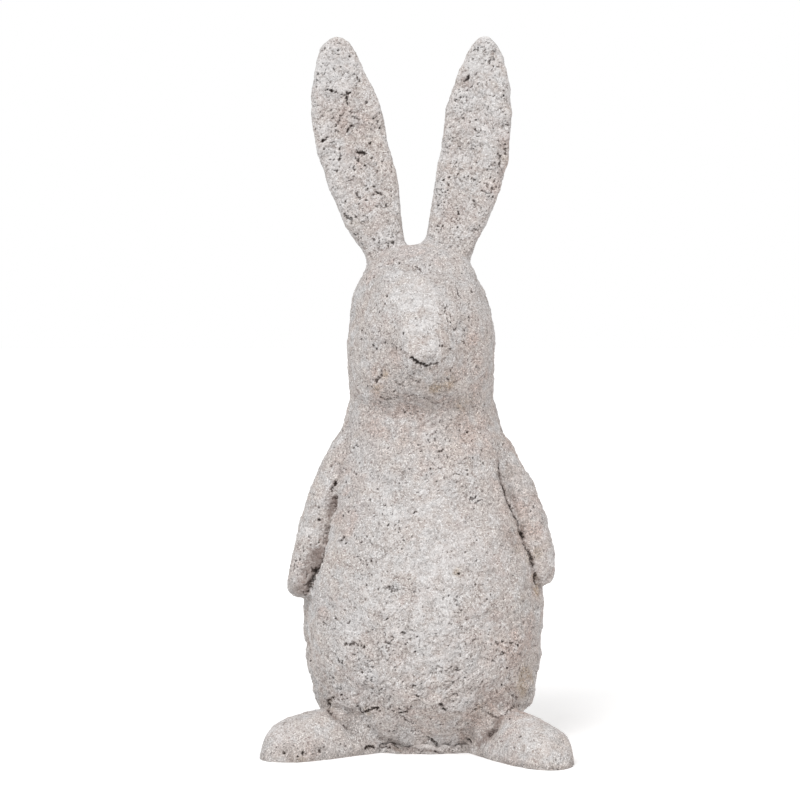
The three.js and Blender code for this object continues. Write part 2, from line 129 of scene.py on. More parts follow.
# Cracks and creases of the front: their course in the frame, half width and depth in mm, and how
# dark they are
CRACKS = [
    # under the nose
    ([(411, 357), (415, 361), (420, 364), (424, 364), (427, 366)], 1.1, 2.2, 1.0),
    ([(427, 366), (432, 365), (437, 363)], 0.6, 1.0, 0.75),
    ([(425, 365), (426, 369)], 0.8, 1.4, 0.95),
    ([(437, 363), (444, 360), (449, 355)], 0.7, 0.6, 0.4),
    ([(412, 358), (404, 352), (399, 346)], 0.6, 0.4, 0.25),
    # brown fold on the right cheek
    ([(389, 365), (384, 365), (381, 369)], 0.8, 1.2, 0.6),
    ([(381, 369), (380, 375), (377, 381)], 0.8, 1.4, 0.6),
    # forehead
    ([(415, 266), (419, 269)], 0.8, 1.2, 0.85),
    ([(419, 269), (427, 275), (432, 281), (437, 285)], 0.6, 0.5, 0.4),
    ([(457, 287), (458, 293), (462, 299)], 0.6, 0.8, 0.6),
    ([(385, 303), (382, 308), (378, 313)], 0.7, 1.2, 0.75),
    # under the chin
    ([(393, 379), (399, 377), (404, 374)], 0.6, 0.6, 0.5),
    ([(413, 381), (420, 380)], 0.7, 0.7, 0.6),
    ([(380, 398), (388, 400), (396, 399), (405, 398), (414, 396), (424, 398)], 0.7, 0.6, 0.4),
    ([(424, 398), (430, 402), (437, 405)], 0.7, 0.9, 0.55),
    # right ear
    ([(327, 90), (331, 91), (335, 92)], 0.8, 1.4, 0.95),
    ([(335, 92), (340, 94), (345, 95)], 0.5, 0.9, 0.6),
    ([(346, 93), (349, 94)], 0.8, 1.4, 0.95),
    ([(348, 97), (348, 102), (346, 108), (344, 113), (341, 118)], 0.7, 1.2, 0.75),
    ([(341, 118), (338, 122), (336, 127)], 0.6, 1.1, 0.8),
    ([(336, 130), (338, 132)], 0.8, 1.3, 0.95),
    ([(335, 132), (331, 135), (327, 138)], 0.6, 1.0, 0.7),
    ([(326, 139), (323, 141)], 0.8, 1.3, 0.9),
    ([(352, 110), (350, 114)], 0.5, 0.8, 0.5),
    ([(345, 131), (348, 130)], 0.8, 1.3, 0.9),
    ([(350, 128), (352, 125)], 0.7, 1.0, 0.7),
    ([(354, 117), (359, 120)], 0.6, 0.8, 0.6),
    ([(314, 106), (320, 106), (326, 105)], 0.5, 0.7, 0.5),
    ([(358, 152), (361, 152), (365, 154)], 1.0, 1.9, 1.0),
    ([(358, 159), (361, 163), (366, 167)], 0.7, 1.2, 0.75),
    ([(339, 158), (341, 156)], 0.9, 1.4, 0.95),
    ([(366, 148), (370, 143)], 0.7, 1.0, 0.7),
    ([(371, 195), (374, 194)], 0.6, 1.0, 0.8),
    ([(376, 192), (379, 193), (381, 195)], 0.8, 1.5, 0.95),
    ([(357, 191), (358, 196), (361, 199)], 0.6, 0.9, 0.6),
    ([(366, 72), (367, 78), (371, 82)], 0.6, 0.8, 0.45),
    ([(347, 178), (350, 181), (353, 178)], 0.7, 0.9, 0.55),
    ([(344, 214), (350, 218), (352, 224)], 0.8, 1.0, 0.6),
    # left ear
    ([(463, 80), (466, 78), (468, 75)], 1.0, 2.0, 0.95),
    ([(489, 60), (489, 65)], 0.7, 1.5, 0.9),
    ([(499, 143), (502, 147), (504, 151)], 0.7, 1.2, 0.75),
    ([(446, 148), (449, 145)], 0.6, 1.0, 0.75),
    ([(472, 210), (474, 204), (473, 198)], 0.6, 1.0, 0.65),
    ([(475, 128), (478, 133)], 0.6, 0.9, 0.6),
    ([(497, 152), (500, 160), (499, 166)], 0.7, 0.9, 0.65),
    ([(486, 186), (491, 190), (497, 187)], 0.7, 0.8, 0.45),
    # inner side of the right arm
    ([(335, 482), (333, 488), (332, 491)], 1.0, 2.2, 0.9),
    ([(336, 497), (335, 505), (333, 512), (331, 518)], 1.7, 2.2, 0.5),
    ([(331, 518), (329, 527), (326, 536), (324, 545)], 1.4, 1.6, 0.35),
    ([(323, 548), (322, 556), (319, 565), (315, 573)], 1.3, 2.4, 0.85),
    ([(315, 573), (312, 580), (309, 588), (306, 596)], 1.2, 1.6, 0.6),
    ([(340, 541), (343, 537)], 0.8, 1.0, 0.7),
    # inner side of the left arm
    ([(500, 462), (501, 472), (503, 484)], 0.9, 1.6, 0.8),
    ([(503, 484), (507, 494), (510, 503), (513, 510)], 1.1, 2.0, 0.95),
    ([(513, 510), (516, 518), (519, 526), (522, 534)], 1.2, 2.4, 1.0),
    ([(522, 534), (525, 546), (529, 554)], 1.0, 2.0, 0.85),
    ([(529, 554), (533, 566), (535, 577)], 0.8, 1.6, 0.7),
    ([(535, 577), (537, 588)], 0.9, 1.4, 0.45),
    # chest and belly
    ([(428, 459), (434, 464), (441, 470)], 0.5, 0.6, 0.5),
    ([(384, 586), (390, 590), (398, 590), (405, 588)], 0.8, 0.8, 0.5),
    ([(453, 596), (459, 603), (461, 612)], 0.8, 0.8, 0.5),
    ([(310, 637), (312, 646)], 0.8, 1.2, 0.7),
    ([(345, 644), (352, 643), (358, 645), (363, 648)], 0.7, 0.9, 0.65),
    ([(384, 640), (390, 644), (393, 638)], 0.6, 0.8, 0.6),
    ([(384, 619), (392, 617)], 0.6, 0.8, 0.65),
    ([(337, 659), (341, 664)], 0.8, 1.2, 0.75),
    ([(358, 707), (361, 713), (368, 711), (376, 709)], 0.8, 1.4, 0.9),
    ([(392, 710), (399, 713), (407, 712), (412, 707)], 0.7, 1.2, 0.8),
    ([(400, 716), (406, 722), (412, 726)], 0.6, 0.8, 0.55),
    ([(448, 666), (454, 670), (459, 671)], 0.6, 0.8, 0.6),
    ([(441, 705), (444, 710)], 0.9, 1.5, 0.95),
    ([(466, 645), (474, 640), (482, 638)], 0.7, 0.6, 0.45),
    ([(490, 714), (497, 717), (506, 713), (516, 706)], 0.7, 1.0, 0.6),
    ([(512, 695), (517, 699)], 0.9, 1.2, 0.8),
    # where the belly meets the feet
    ([(325, 702), (330, 700), (335, 697)], 0.8, 1.3, 0.7),
    ([(326, 704), (329, 710), (331, 715)], 1.1, 1.6, 0.8),
    ([(345, 725), (349, 728)], 0.8, 0.8, 0.5),
    ([(508, 711), (513, 710)], 0.8, 1.2, 0.8),
    ([(519, 708), (522, 706)], 0.8, 1.1, 0.8),
    ([(494, 727), (489, 731), (485, 735)], 1.5, 1.6, 0.6),
    ([(466, 738), (470, 741)], 0.8, 1.2, 0.75),
    ([(424, 735), (431, 739), (437, 741)], 0.9, 1.3, 0.65),
    # above the lip
    ([(366, 746), (370, 744), (374, 745)], 1.0, 1.6, 0.9),
    ([(380, 745), (384, 746), (388, 748)], 1.0, 1.6, 0.95),
    ([(391, 745), (397, 744), (403, 744)], 0.9, 1.5, 0.9),
    ([(407, 744), (412, 744)], 0.8, 1.3, 0.8),
    ([(432, 738), (437, 742), (442, 744)], 0.6, 1.0, 0.7),
]

# Painted brown shade in the creases of the front and under the muzzle and chin: its course in the
# frame, half width in mm and strength
CREASE_SHADE_COURSES = [
    # inner side of the right arm
    ([(334, 482), (331, 497), (330, 515)], 2.0, 0.6),
    ([(334, 497), (332, 507), (330, 517)], 2.0, 1.0),
    ([(327, 530), (324, 545)], 1.6, 0.6),
    ([(321, 548), (317, 562), (311, 577), (305, 592)], 2.8, 1.0),
    ([(315, 553), (310, 567), (304, 581), (299, 592)], 4.6, 0.85),
    ([(296, 596), (304, 598)], 1.6, 0.8),
    # inner side of the left arm
    ([(499, 462), (502, 480), (508, 500), (515, 518)], 2.4, 0.9),
    ([(515, 518), (522, 538), (531, 558), (536, 580)], 2.4, 0.8),
    ([(538, 576), (539, 590)], 2.4, 0.5),
    # under the muzzle and the chin
    ([(395, 349), (404, 353), (412, 360)], 2.0, 0.6),
    ([(384, 365), (382, 374)], 1.4, 0.7),
    ([(432, 368), (446, 362), (456, 352)], 2.4, 0.35),
    ([(378, 398), (396, 400), (424, 399), (446, 404)], 2.2, 0.4),
    # ears
    ([(334, 90), (347, 97), (343, 113), (333, 131), (321, 141)], 2.4, 0.45),
    ([(354, 151), (366, 155)], 2.6, 0.5),
    ([(371, 194), (384, 194)], 2.4, 0.45),
    ([(462, 82), (470, 86)], 3.0, 0.5),
    ([(498, 145), (502, 160)], 2.0, 0.4),
    # around the feet
    ([(326, 702), (330, 712), (336, 718)], 2.2, 0.9),
    ([(340, 722), (352, 730)], 2.4, 0.5),
    ([(338, 694), (328, 702)], 1.4, 0.7),
    ([(355, 709), (370, 711), (390, 711), (410, 709)], 1.8, 0.5),
    ([(500, 718), (493, 727), (484, 737), (478, 742)], 3.4, 1.0),
    ([(364, 745), (390, 745), (414, 745)], 1.8, 0.9),
    ([(396, 747), (430, 749), (452, 749)], 1.8, 0.8),
    ([(306, 630), (309, 650)], 1.8, 0.6),
]

# Air pits of the front: place in the frame and radius in mm
PITS = [
    # head
    (440, 346, 0.8), (443, 346, 0.9), (451, 349, 0.9), (406, 368, 0.8), (413, 375, 0.7),
    (403, 333, 0.9), (396, 348, 0.9), (400, 349, 0.8), (385, 303, 0.8), (376, 305, 0.7),
    (446, 307, 0.8), (451, 322, 0.7), (399, 262, 0.9), (430, 265, 0.7), (374, 277, 0.9),
    (358, 290, 0.8), (366, 333, 0.8), (373, 346, 0.9), (376, 349, 0.8), (372, 339, 0.7),
    (361, 356, 0.8), (372, 387, 1.0), (380, 403, 0.8), (470, 317, 0.8), (465, 330, 0.8),
    (469, 301, 0.6), (392, 327, 0.7), (405, 412, 0.8), (485, 405, 0.8),
    # right ear
    (340, 43, 0.8), (338, 50, 0.8), (350, 56, 0.9), (334, 69, 1.0), (341, 79, 0.6),
    (354, 74, 0.7), (348, 92, 0.9), (374, 186, 0.8), (357, 193, 0.9), (354, 176, 0.7),
    (386, 206, 0.7), (380, 128, 0.8), (369, 143, 0.8), (345, 201, 0.8), (356, 217, 0.8),
    (331, 110, 0.7), (382, 180, 0.6), (366, 200, 0.7), (324, 149, 0.7),
    # left ear
    (471, 86, 0.9), (467, 90, 0.7), (504, 95, 0.9), (469, 111, 0.6), (476, 120, 0.6),
    (443, 180, 0.9), (449, 177, 0.8), (456, 162, 0.7), (463, 118, 0.6), (470, 122, 0.7),
    (500, 156, 0.8), (453, 138, 0.6), (438, 205, 0.8), (438, 226, 0.7), (474, 201, 0.7),
    (441, 160, 0.6), (493, 128, 0.6), (459, 122, 0.6),
    # chest, arms and belly
    (331, 466, 0.7), (351, 482, 0.8), (319, 507, 0.8), (319, 520, 0.9), (303, 551, 0.7),
    (349, 512, 0.8), (343, 516, 0.8), (345, 543, 0.8), (389, 588, 1.0), (371, 561, 0.6),
    (448, 457, 0.8), (411, 442, 0.6), (377, 489, 0.7), (462, 610, 0.8), (459, 573, 0.9),
    (487, 599, 0.6), (477, 540, 0.6), (414, 592, 0.8), (457, 605, 0.7),
    (363, 648, 0.9), (415, 652, 0.8), (341, 662, 0.9), (361, 673, 0.7), (387, 571, 0.6),
    (516, 697, 1.0), (443, 709, 1.0), (482, 681, 0.7), (389, 731, 0.9),
    # feet, and low on the belly
    (284, 752, 1.0), (303, 750, 1.1), (320, 750, 1.0), (276, 747, 0.6), (298, 754, 0.7),
    (513, 746, 0.6), (556, 757, 0.6), (558, 768, 0.7), (517, 735, 0.6), (390, 730, 0.8),
    (429, 742, 1.0), (375, 709, 0.9), (346, 745, 0.7),
]

# Wide shallow hollows, and swells with a depth below 0: place in the frame, reach and depth in mm
HOLLOWS = [
    # ears
    (428, 244, 8, -3.4), (349, 236, 7, 1.8), (340, 215, 7, 0.8), (325, 170, 7, 1.0), (341, 112, 6, 0.7),
    (330, 134, 6, 0.6), (362, 158, 7, 0.7), (374, 192, 6, 0.6), (467, 82, 5, 0.8),
    # head
    (419, 249, 9, -2.0), (388, 322, 9, 0.9), (391, 344, 8, 0.8), (459, 318, 9, 0.6), (399, 262, 7, 0.6),
    (425, 372, 11, 1.1), (398, 373, 8, 0.7), (449, 371, 9, 0.8), (392, 398, 10, 0.6),
    (446, 401, 10, 0.6),
    # arms
    (503, 480, 4, 0.9), (508, 497, 4, 1.1), (514, 514, 4, 1.1), (520, 530, 4, 0.9), (316, 555, 5, 1.2),
    (311, 568, 5, 1.0), (305, 581, 5, 0.7), (548, 586, 7, 2.2), (551, 576, 5, 1.0), (332, 508, 4, 1.2),
    # belly
    (508, 701, 5, -1.6), (347, 704, 5, -1.2), (462, 575, 6, 0.6), (396, 590, 9, 0.5),
    (363, 714, 8, 0.6), (403, 712, 8, 0.5), (336, 714, 5, 0.8),
    # feet and lip
    (350, 723, 6, 2.0), (496, 722, 6, 1.0), (494, 728, 5, 2.2), (486, 736, 5, 2.0), (558, 727, 7, 1.6),
]

# Patches of the cement's tints: place in the frame, reach in mm and strength
PALE = [
    # ears
    (495, 70, 9, 0.6), (455, 180, 8, 0.4), (485, 165, 8, 0.5), (330, 75, 12, 0.9),
    (328, 130, 8, 0.7), (350, 62, 12, 0.5), (345, 200, 9, 0.5), (336, 170, 10, 0.5), (480, 62, 14, 0.9),
    (484, 130, 16, 0.5), (490, 145, 9, 0.5), (462, 230, 9, 0.4), (352, 222, 9, 0.4),
    (326, 100, 7, 0.4), (338, 86, 13, 0.6), (340, 55, 9, 0.5), (494, 106, 12, 0.5), (470, 76, 9, 0.5),
    (391, 236, 10, 0.9), (325, 45, 7, 0.5), (335, 75, 26, 0.6), (485, 90, 28, 0.6), (320, 75, 9, 0.9),
    (360, 190, 26, 0.35), (465, 190, 26, 0.35), (460, 95, 8, 0.7), (465, 180, 8, 0.6),
    (500, 162, 7, 0.6),
    # head
    (411, 300, 16, 0.9), (420, 325, 13, 0.8), (428, 345, 10, 0.6), (400, 280, 10, 0.45),
    # chest
    (460, 470, 9, 0.4), (360, 462, 9, 0.4), (395, 510, 16, 0.6),
    # arms
    (541, 577, 6, 0.6),
    # belly
    (440, 560, 42, 0.55), (425, 640, 38, 0.5), (385, 590, 24, 0.5), (372, 600, 14, 0.4),
    (384, 610, 12, 0.4), (510, 698, 8, 0.5), (350, 620, 18, 0.45),
    (345, 685, 10, 0.6), (447, 600, 12, 0.9), (400, 580, 10, 0.9), (340, 650, 14, 0.4),
    (347, 705, 7, 0.6), (385, 645, 10, 0.4),
    # feet and lip
    (532, 738, 22, 0.4), (300, 735, 26, 0.35),
]
WARM = [
    # ears
    (507, 140, 7, 0.9), (506, 165, 8, 0.9), (497, 190, 9, 0.7), (345, 112, 9, 0.7), (341, 125, 8, 0.7),
    (355, 160, 9, 0.6), (325, 130, 7, 0.5), (367, 205, 9, 0.6), (470, 125, 9, 0.5), (455, 155, 8, 0.5),
    (466, 82, 7, 0.6), (478, 115, 8, 0.5), (463, 176, 10, 0.4),
    (455, 210, 12, 0.5), (380, 225, 12, 0.4), (486, 125, 8, 0.6), (452, 152, 7, 0.6),
    (490, 192, 8, 0.7),
    # head
    (400, 415, 30, 0.5), (375, 395, 14, 0.6), (450, 380, 12, 0.6), (476, 350, 16, 0.6),
    (482, 380, 14, 0.6), (380, 418, 16, 0.7), (420, 424, 16, 0.6),
    (445, 402, 12, 0.6), (470, 365, 12, 0.5), (490, 325, 9, 0.6), (380, 372, 9, 0.8),
    (445, 408, 9, 0.7), (395, 358, 10, 0.5), (440, 342, 9, 0.3), (475, 322, 12, 0.35),
    (487, 300, 9, 0.4),
    # chest
    (470, 430, 24, 0.6), (345, 520, 12, 0.8), (350, 445, 22, 0.3), (437, 455, 14, 0.6),
    (465, 520, 10, 0.3), (458, 526, 10, 0.5),
    # arms
    (532, 540, 16, 0.9), (525, 510, 14, 0.7), (538, 570, 12, 0.8), (536, 592, 8, 0.8),
    (340, 465, 10, 0.5), (522, 548, 10, 0.9), (337, 505, 7, 0.8), (515, 540, 14, 1.0),
    (500, 560, 16, 0.4),
    # belly
    (515, 660, 22, 0.9), (530, 640, 18, 0.7), (508, 700, 20, 1.0), (480, 715, 18, 0.6),
    (420, 715, 30, 0.5), (400, 656, 8, 0.7), (404, 600, 7, 0.6), (415, 594, 7, 0.5),
    (400, 635, 10, 0.5), (490, 685, 14, 0.6), (355, 657, 9, 0.5), (467, 580, 10, 0.4),
    (526, 680, 12, 1.0), (400, 636, 9, 0.6), (530, 625, 10, 0.7), (317, 660, 12, 0.5),
    (470, 620, 16, 0.4),
    # feet and lip
    (455, 730, 12, 0.5), (310, 750, 9, 0.9), (290, 752, 9, 0.6), (457, 735, 9, 0.7),
]
COLD = [
    # ears
    (330, 70, 14, 0.6), (455, 185, 9, 0.5), (330, 107, 7, 0.5),
    # head
    (395, 255, 18, 0.7), (375, 330, 14, 0.5), (400, 275, 12, 0.7),
    (415, 315, 12, 0.5), (415, 252, 24, 0.9), (380, 250, 10, 0.5),
    # chest
    (352, 425, 12, 0.8), (360, 460, 18, 0.8), (352, 505, 16, 0.8), (440, 510, 26, 0.5),
    (372, 470, 14, 0.5),
    # arms
    (295, 575, 8, 0.7), (318, 560, 12, 0.3),
    # belly
    (320, 605, 15, 0.8), (345, 620, 18, 0.8), (365, 685, 15, 0.8), (345, 690, 12, 0.8),
    (390, 680, 14, 0.5),
    # feet and lip
    (412, 751, 6, 0.6), (440, 751, 6, 0.6),
]
STAIN = [
    # ears
    (505, 160, 5, 0.5), (356, 226, 7, 0.3),
    # head
    (448, 383, 6, 0.9), (437, 388, 5, 0.8), (453, 386, 4, 0.6), (383, 374, 4, 0.9), (376, 388, 5, 0.5),
    (462, 405, 8, 0.4),
    # arms
    (534, 552, 8, 0.6), (517, 530, 8, 0.4), (537, 590, 5, 0.9), (527, 560, 5, 0.4), (518, 545, 10, 0.4),
    (535, 578, 4, 0.7),
    # belly
    (531, 668, 7, 0.6), (522, 602, 7, 0.3), (481, 708, 6, 0.4), (329, 709, 4, 0.8), (526, 680, 14, 0.8),
    (459, 572, 4, 0.6), (366, 712, 4, 0.6), (330, 705, 4, 0.7),
    # feet and lip
    (300, 757, 6, 0.5), (398, 745, 4, 0.5),
]
# Painted shade: darker patches under the chin, in the creases, along the edge of the left ear and low
# down by the slab
PAINTED_SHADE_PATCHES = [
    # ears
    (506, 100, 4, 0.5), (507, 125, 4, 0.6), (506, 150, 4, 0.6), (501, 175, 5, 0.5), (493, 198, 5, 0.4),
    # head
    (385, 412, 12, 0.3), (412, 419, 12, 0.3), (397, 320, 5, 0.35), (394, 345, 5, 0.45),
    (400, 388, 14, 0.4), (440, 388, 14, 0.3), (463, 256, 9, 0.4), (425, 295, 6, 0.4),
    # chest
    (445, 434, 12, 0.45), (442, 452, 9, 0.5), (400, 440, 26, 0.25), (450, 440, 24, 0.25),
    (457, 530, 6, 0.4),
    # arms
    (502, 470, 7, 0.4), (512, 520, 6, 0.4), (308, 570, 7, 0.6), (301, 588, 6, 0.5), (527, 520, 10, 0.4),
    (535, 550, 9, 0.45), (516, 490, 8, 0.3), (316, 560, 5, 0.9), (311, 575, 4, 0.5), (301, 590, 5, 0.6),
    (329, 512, 3, 0.6), (297, 583, 4, 0.3), (503, 478, 7, 0.9), (508, 496, 6, 0.8), (513, 515, 6, 0.8),
    (290, 586, 6, 0.9), (510, 540, 9, 0.5), (510, 470, 7, 0.5), (505, 545, 6, 0.4), (300, 590, 6, 0.5),
    # belly
    (500, 716, 5, 0.3), (333, 716, 5, 0.7), (312, 640, 6, 0.5),
    # feet and lip
    (492, 724, 6, 0.9), (484, 731, 6, 0.9), (475, 737, 6, 0.8), (345, 727, 6, 0.6), (385, 749, 7, 0.6),
    (410, 750, 8, 0.9), (436, 750, 8, 0.9), (460, 750, 8, 0.9), (482, 752, 7, 0.8), (361, 750, 6, 0.5),
    (558, 766, 5, 0.4), (350, 723, 8, 1.0), (491, 727, 8, 1.0), (290, 755, 9, 0.9), (320, 754, 9, 0.9),
    (415, 747, 6, 0.9), (560, 742, 6, 0.5), (325, 757, 8, 0.6), (345, 755, 8, 0.6), (300, 760, 8, 0.6),
]
TINTS = {"cold": COLD, "pale": PALE, "warm": WARM, "stain": STAIN, "painted_shade": PAINTED_SHADE_PATCHES}

# What the cement's paint reads from each point
PAINT = ["relief", "pit_shade_and_dirt", "crease_shade_and_grime", *TINTS]

# Mesh tools

# Spacing of the points on the worked skins
VOXEL = 0.74 * MM


def read(items, what, width, kind=np.float32):
    """The numbers that a mesh holds for each of its points, edges or faces, a row for each."""
    flat = np.empty(len(items) * width, kind)
    items.foreach_get(what, flat)
    return flat.reshape(-1, width)


def coordinates(mesh):
    return read(mesh.vertices, "co", 3).astype(float)


def set_coordinates(mesh, points):
    mesh.vertices.foreach_set("co", points.astype(np.float32).ravel())
    mesh.update()


def normals_of(mesh):
    return read(mesh.vertex_normals, "vector", 3).astype(float)


def edges_of(mesh):
    return read(mesh.edges, "vertices", 2, np.int32)


def quads_of(mesh):
    return read(mesh.polygons, "vertices", 4, np.int32)


def keep(mesh, name, values):
    """Stores one number for each point."""
    attribute = mesh.attributes.new(name, "FLOAT", "POINT")
    attribute.data.foreach_set("value", values.astype(np.float32))


def kept(mesh, name):
    return read(mesh.attributes[name].data, "value", 1)[:, 0]


def tree_over(points, quads):
    return BVHTree.FromPolygons(points.tolist(), quads.tolist())


def relax(values, edges, rounds, weight):
    """Moves each point's values towards the middle of its neighbours' values, by its weight."""
    a, b = edges[:, 0], edges[:, 1]
    count = len(values)
    degree = np.maximum(np.bincount(a, minlength=count) + np.bincount(b, minlength=count), 1)
    values = values.copy()
    for _ in range(rounds):
        for column in range(values.shape[1]):
            value = values[:, column]
            total = np.bincount(a, value[b], count) + np.bincount(b, value[a], count)
            values[:, column] = value + weight * (total / degree - value)
    return values


def ramp(value, low, high):
    """0 at low, 1 at high, and a smooth step between them."""
    t = np.clip((value - low) / (high - low), 0, 1)
    return t * t * (3 - 2 * t)


def ridge(value, middle, reach):
    """1 where the value is at the middle, falling off over the reach."""
    return np.exp(-(((value - middle) / reach) ** 2))


def bell(points, middle, reach):
    """1 at the middle, falling off over the reach, which may differ by axis."""
    away = (points - np.array(middle)) / np.array(reach)
    return np.exp(-np.sum(away**2, axis=1))


def spot(points, tree, u, v, reach, stretch=(1, 1, 1)):
    """1 at the surface behind a place in the frame, falling off over the reach in mm."""
    place = tree.ray_cast(EYE, sight(u, v))[0]
    if place is None:
        return np.zeros(len(points))
    return bell(points, place, reach * MM * np.array(stretch))


def field(points, size, octaves=1, shift=0.0):
    """Smooth noise at each point, with swells of about this size."""
    places = (points / size + shift).tolist()
    return np.array([noise.fractal(p, 1.0, 2.0, octaves) for p in places])


def closed_skin(node):
    """A casting's mesh. The body's own hollow is left out, so that the remesh fills it."""
    bm = bmesh.new()
    bm.from_mesh(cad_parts[node].data)
    if node == "torso_shell":
        same_place = 0.001 * MM
        off_the_face = 0.05 * MM
        bmesh.ops.remove_doubles(bm, verts=bm.verts, dist=same_place)
        bm.normal_update()
        tree = BVHTree.FromBMesh(bm)
        inner = []
        for face in bm.faces:
            start = face.calc_center_median() + face.normal * off_the_face
            if tree.ray_cast(start, face.normal)[0] is not None:
                inner.append(face)
        bmesh.ops.delete(bm, geom=inner, context="FACES")
        edges = [edge for edge in bm.edges if edge.is_boundary]
        bmesh.ops.holes_fill(bm, edges=edges, sides=0)
    mesh = bpy.data.meshes.new(node)
    bm.to_mesh(mesh)
    bm.free()
    return mesh


def even_mesh(nodes):
    """The outside of the given castings as one mesh with evenly spaced points."""
    whole = bmesh.new()
    for node in nodes:
        part = closed_skin(node)
        whole.from_mesh(part)
        bpy.data.meshes.remove(part)
    mesh = bpy.data.meshes.new("rough")
    whole.to_mesh(mesh)
    whole.free()
    obj = add_object("rough", mesh)
    remesh = obj.modifiers.new("remesh", "REMESH")
    remesh.mode = "VOXEL"
    remesh.voxel_size = VOXEL
    depsgraph = bpy.context.evaluated_depsgraph_get()
    result = bpy.data.meshes.new_from_object(obj.evaluated_get(depsgraph))
    bpy.data.objects.remove(obj)
    bpy.data.meshes.remove(mesh)
    return result


# Joints between the castings

# Rounds of smoothing for the facets, the soft joints and the borders between castings
FACET_ROUNDS = 14
JOINT_ROUNDS = 90
BORDER_ROUNDS = 5


def blend_weight(points):
    """Where the castings run into each other softly: ear roots, neck, shoulders and tail."""
    x, y, z = points.T
    ears = ramp(z, CROWN - 20 * MM, CROWN - 10 * MM) * (1 - ramp(z, CROWN + 7 * MM, CROWN + 20 * MM))
    neck = 0.8 * ridge(z, NECK, 11 * MM)
    shoulders = ramp(np.abs(x), 36 * MM, 46 * MM) * ramp(z, NECK - 52 * MM, NECK - 34 * MM)
    shoulders *= 1 - ramp(z, NECK - 8 * MM, NECK + 4 * MM)
    around_tail = np.hypot(x - TAIL_MIDDLE.x, z - TAIL_MIDDLE.z)
    tail = 0.25 * ridge(around_tail, TAIL_RADIUS, 5 * MM) * (y > TAIL_LOW.y - 10 * MM)
    return np.clip(np.maximum.reduce([ears, neck, shoulders, tail]), 0, 1)


def soften(mesh):
    """Rounds off the facets, and blends the soft joints and the places in ROUNDED."""
    edges = edges_of(mesh)
    points = relax(coordinates(mesh), edges, FACET_ROUNDS, 0.5)
    points = relax(points, edges, JOINT_ROUNDS, 0.6 * blend_weight(points))
    tree = tree_over(points, quads_of(mesh))
    for u, v, reach, rounds in ROUNDED:
        strength = spot(points, tree, u, v, reach, (1, 2, 1))
        near = strength > 0.02
        inside = edges[near[edges].all(axis=1)]
        points = relax(points, inside, rounds, 0.8 * strength * near)
    set_coordinates(mesh, points)


def tree_of(node):
    bm = bmesh.new()
    bm.from_mesh(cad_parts[node].data)
    tree = BVHTree.FromBMesh(bm)
    bm.free()
    return tree


def shares(points, edges):
    """How much each point belongs to each casting, with soft borders."""
    share = np.zeros((len(points), len(NAMES)))
    trees = [tree_of(name) for name in NAMES]
    reach = 3 * MM
    boxes = [np.array(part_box(name)) for name in NAMES]
    inside = [np.all((points > low - reach) & (points < high + reach), axis=1) for low, high in boxes]
    inside = np.stack(inside, axis=1)
    for i, point in enumerate(points.tolist()):
        near = np.flatnonzero(inside[i])
        owner = near[0] if len(near) else 0
        if len(near) > 1:
            owner = min(near, key=lambda k: trees[k].find_nearest(point)[3])
        share[i, owner] = 1
    return relax(share, edges, BORDER_ROUNDS, 0.7)


# Marks on the surface

# Cracks: the step between two dabs, how far the dabs stray, and the crumbs beside them
DAB_STEP = 0.5 * MM
STRAY = 0.25 * MM
CRUMB_CHANCE = 0.07
CRUMB_SPREAD = 1.9 * MM
CRUMB_RADIUS = 0.6 * MM
CRUMB_DEPTH = 0.7 * MM

# Marks where the front isn't seen: how many cracks, their lengths and half widths in mm, and the
# height that they keep above the ground
CRACKS_BEHIND = 60
CRACK_LENGTHS = (4, 20)
CRACK_HALF_WIDTHS = (0.4, 0.75)
CRACK_FLOOR = 4 * MM

# Seeds of the random draws
PIT_SEED = 11
SAND_SEED = 5
FIGURE_SEED = 20
SLAB_SEED = 21
WANDER_SEED = 22


def ragged(point, swells, wildness):
    """A width that wavers about 1 from place to place, with this many swells in a metre."""
    return max(0.4, 1 + wildness * noise.noise(point * swells))


def stops(places, step):
    """Places at even steps along a broken line."""
    for start, end in zip(places, places[1:]):
        count = max(1, round((end - start).length / step))
        for i in range(count + 1):
            yield start.lerp(end, i / count)


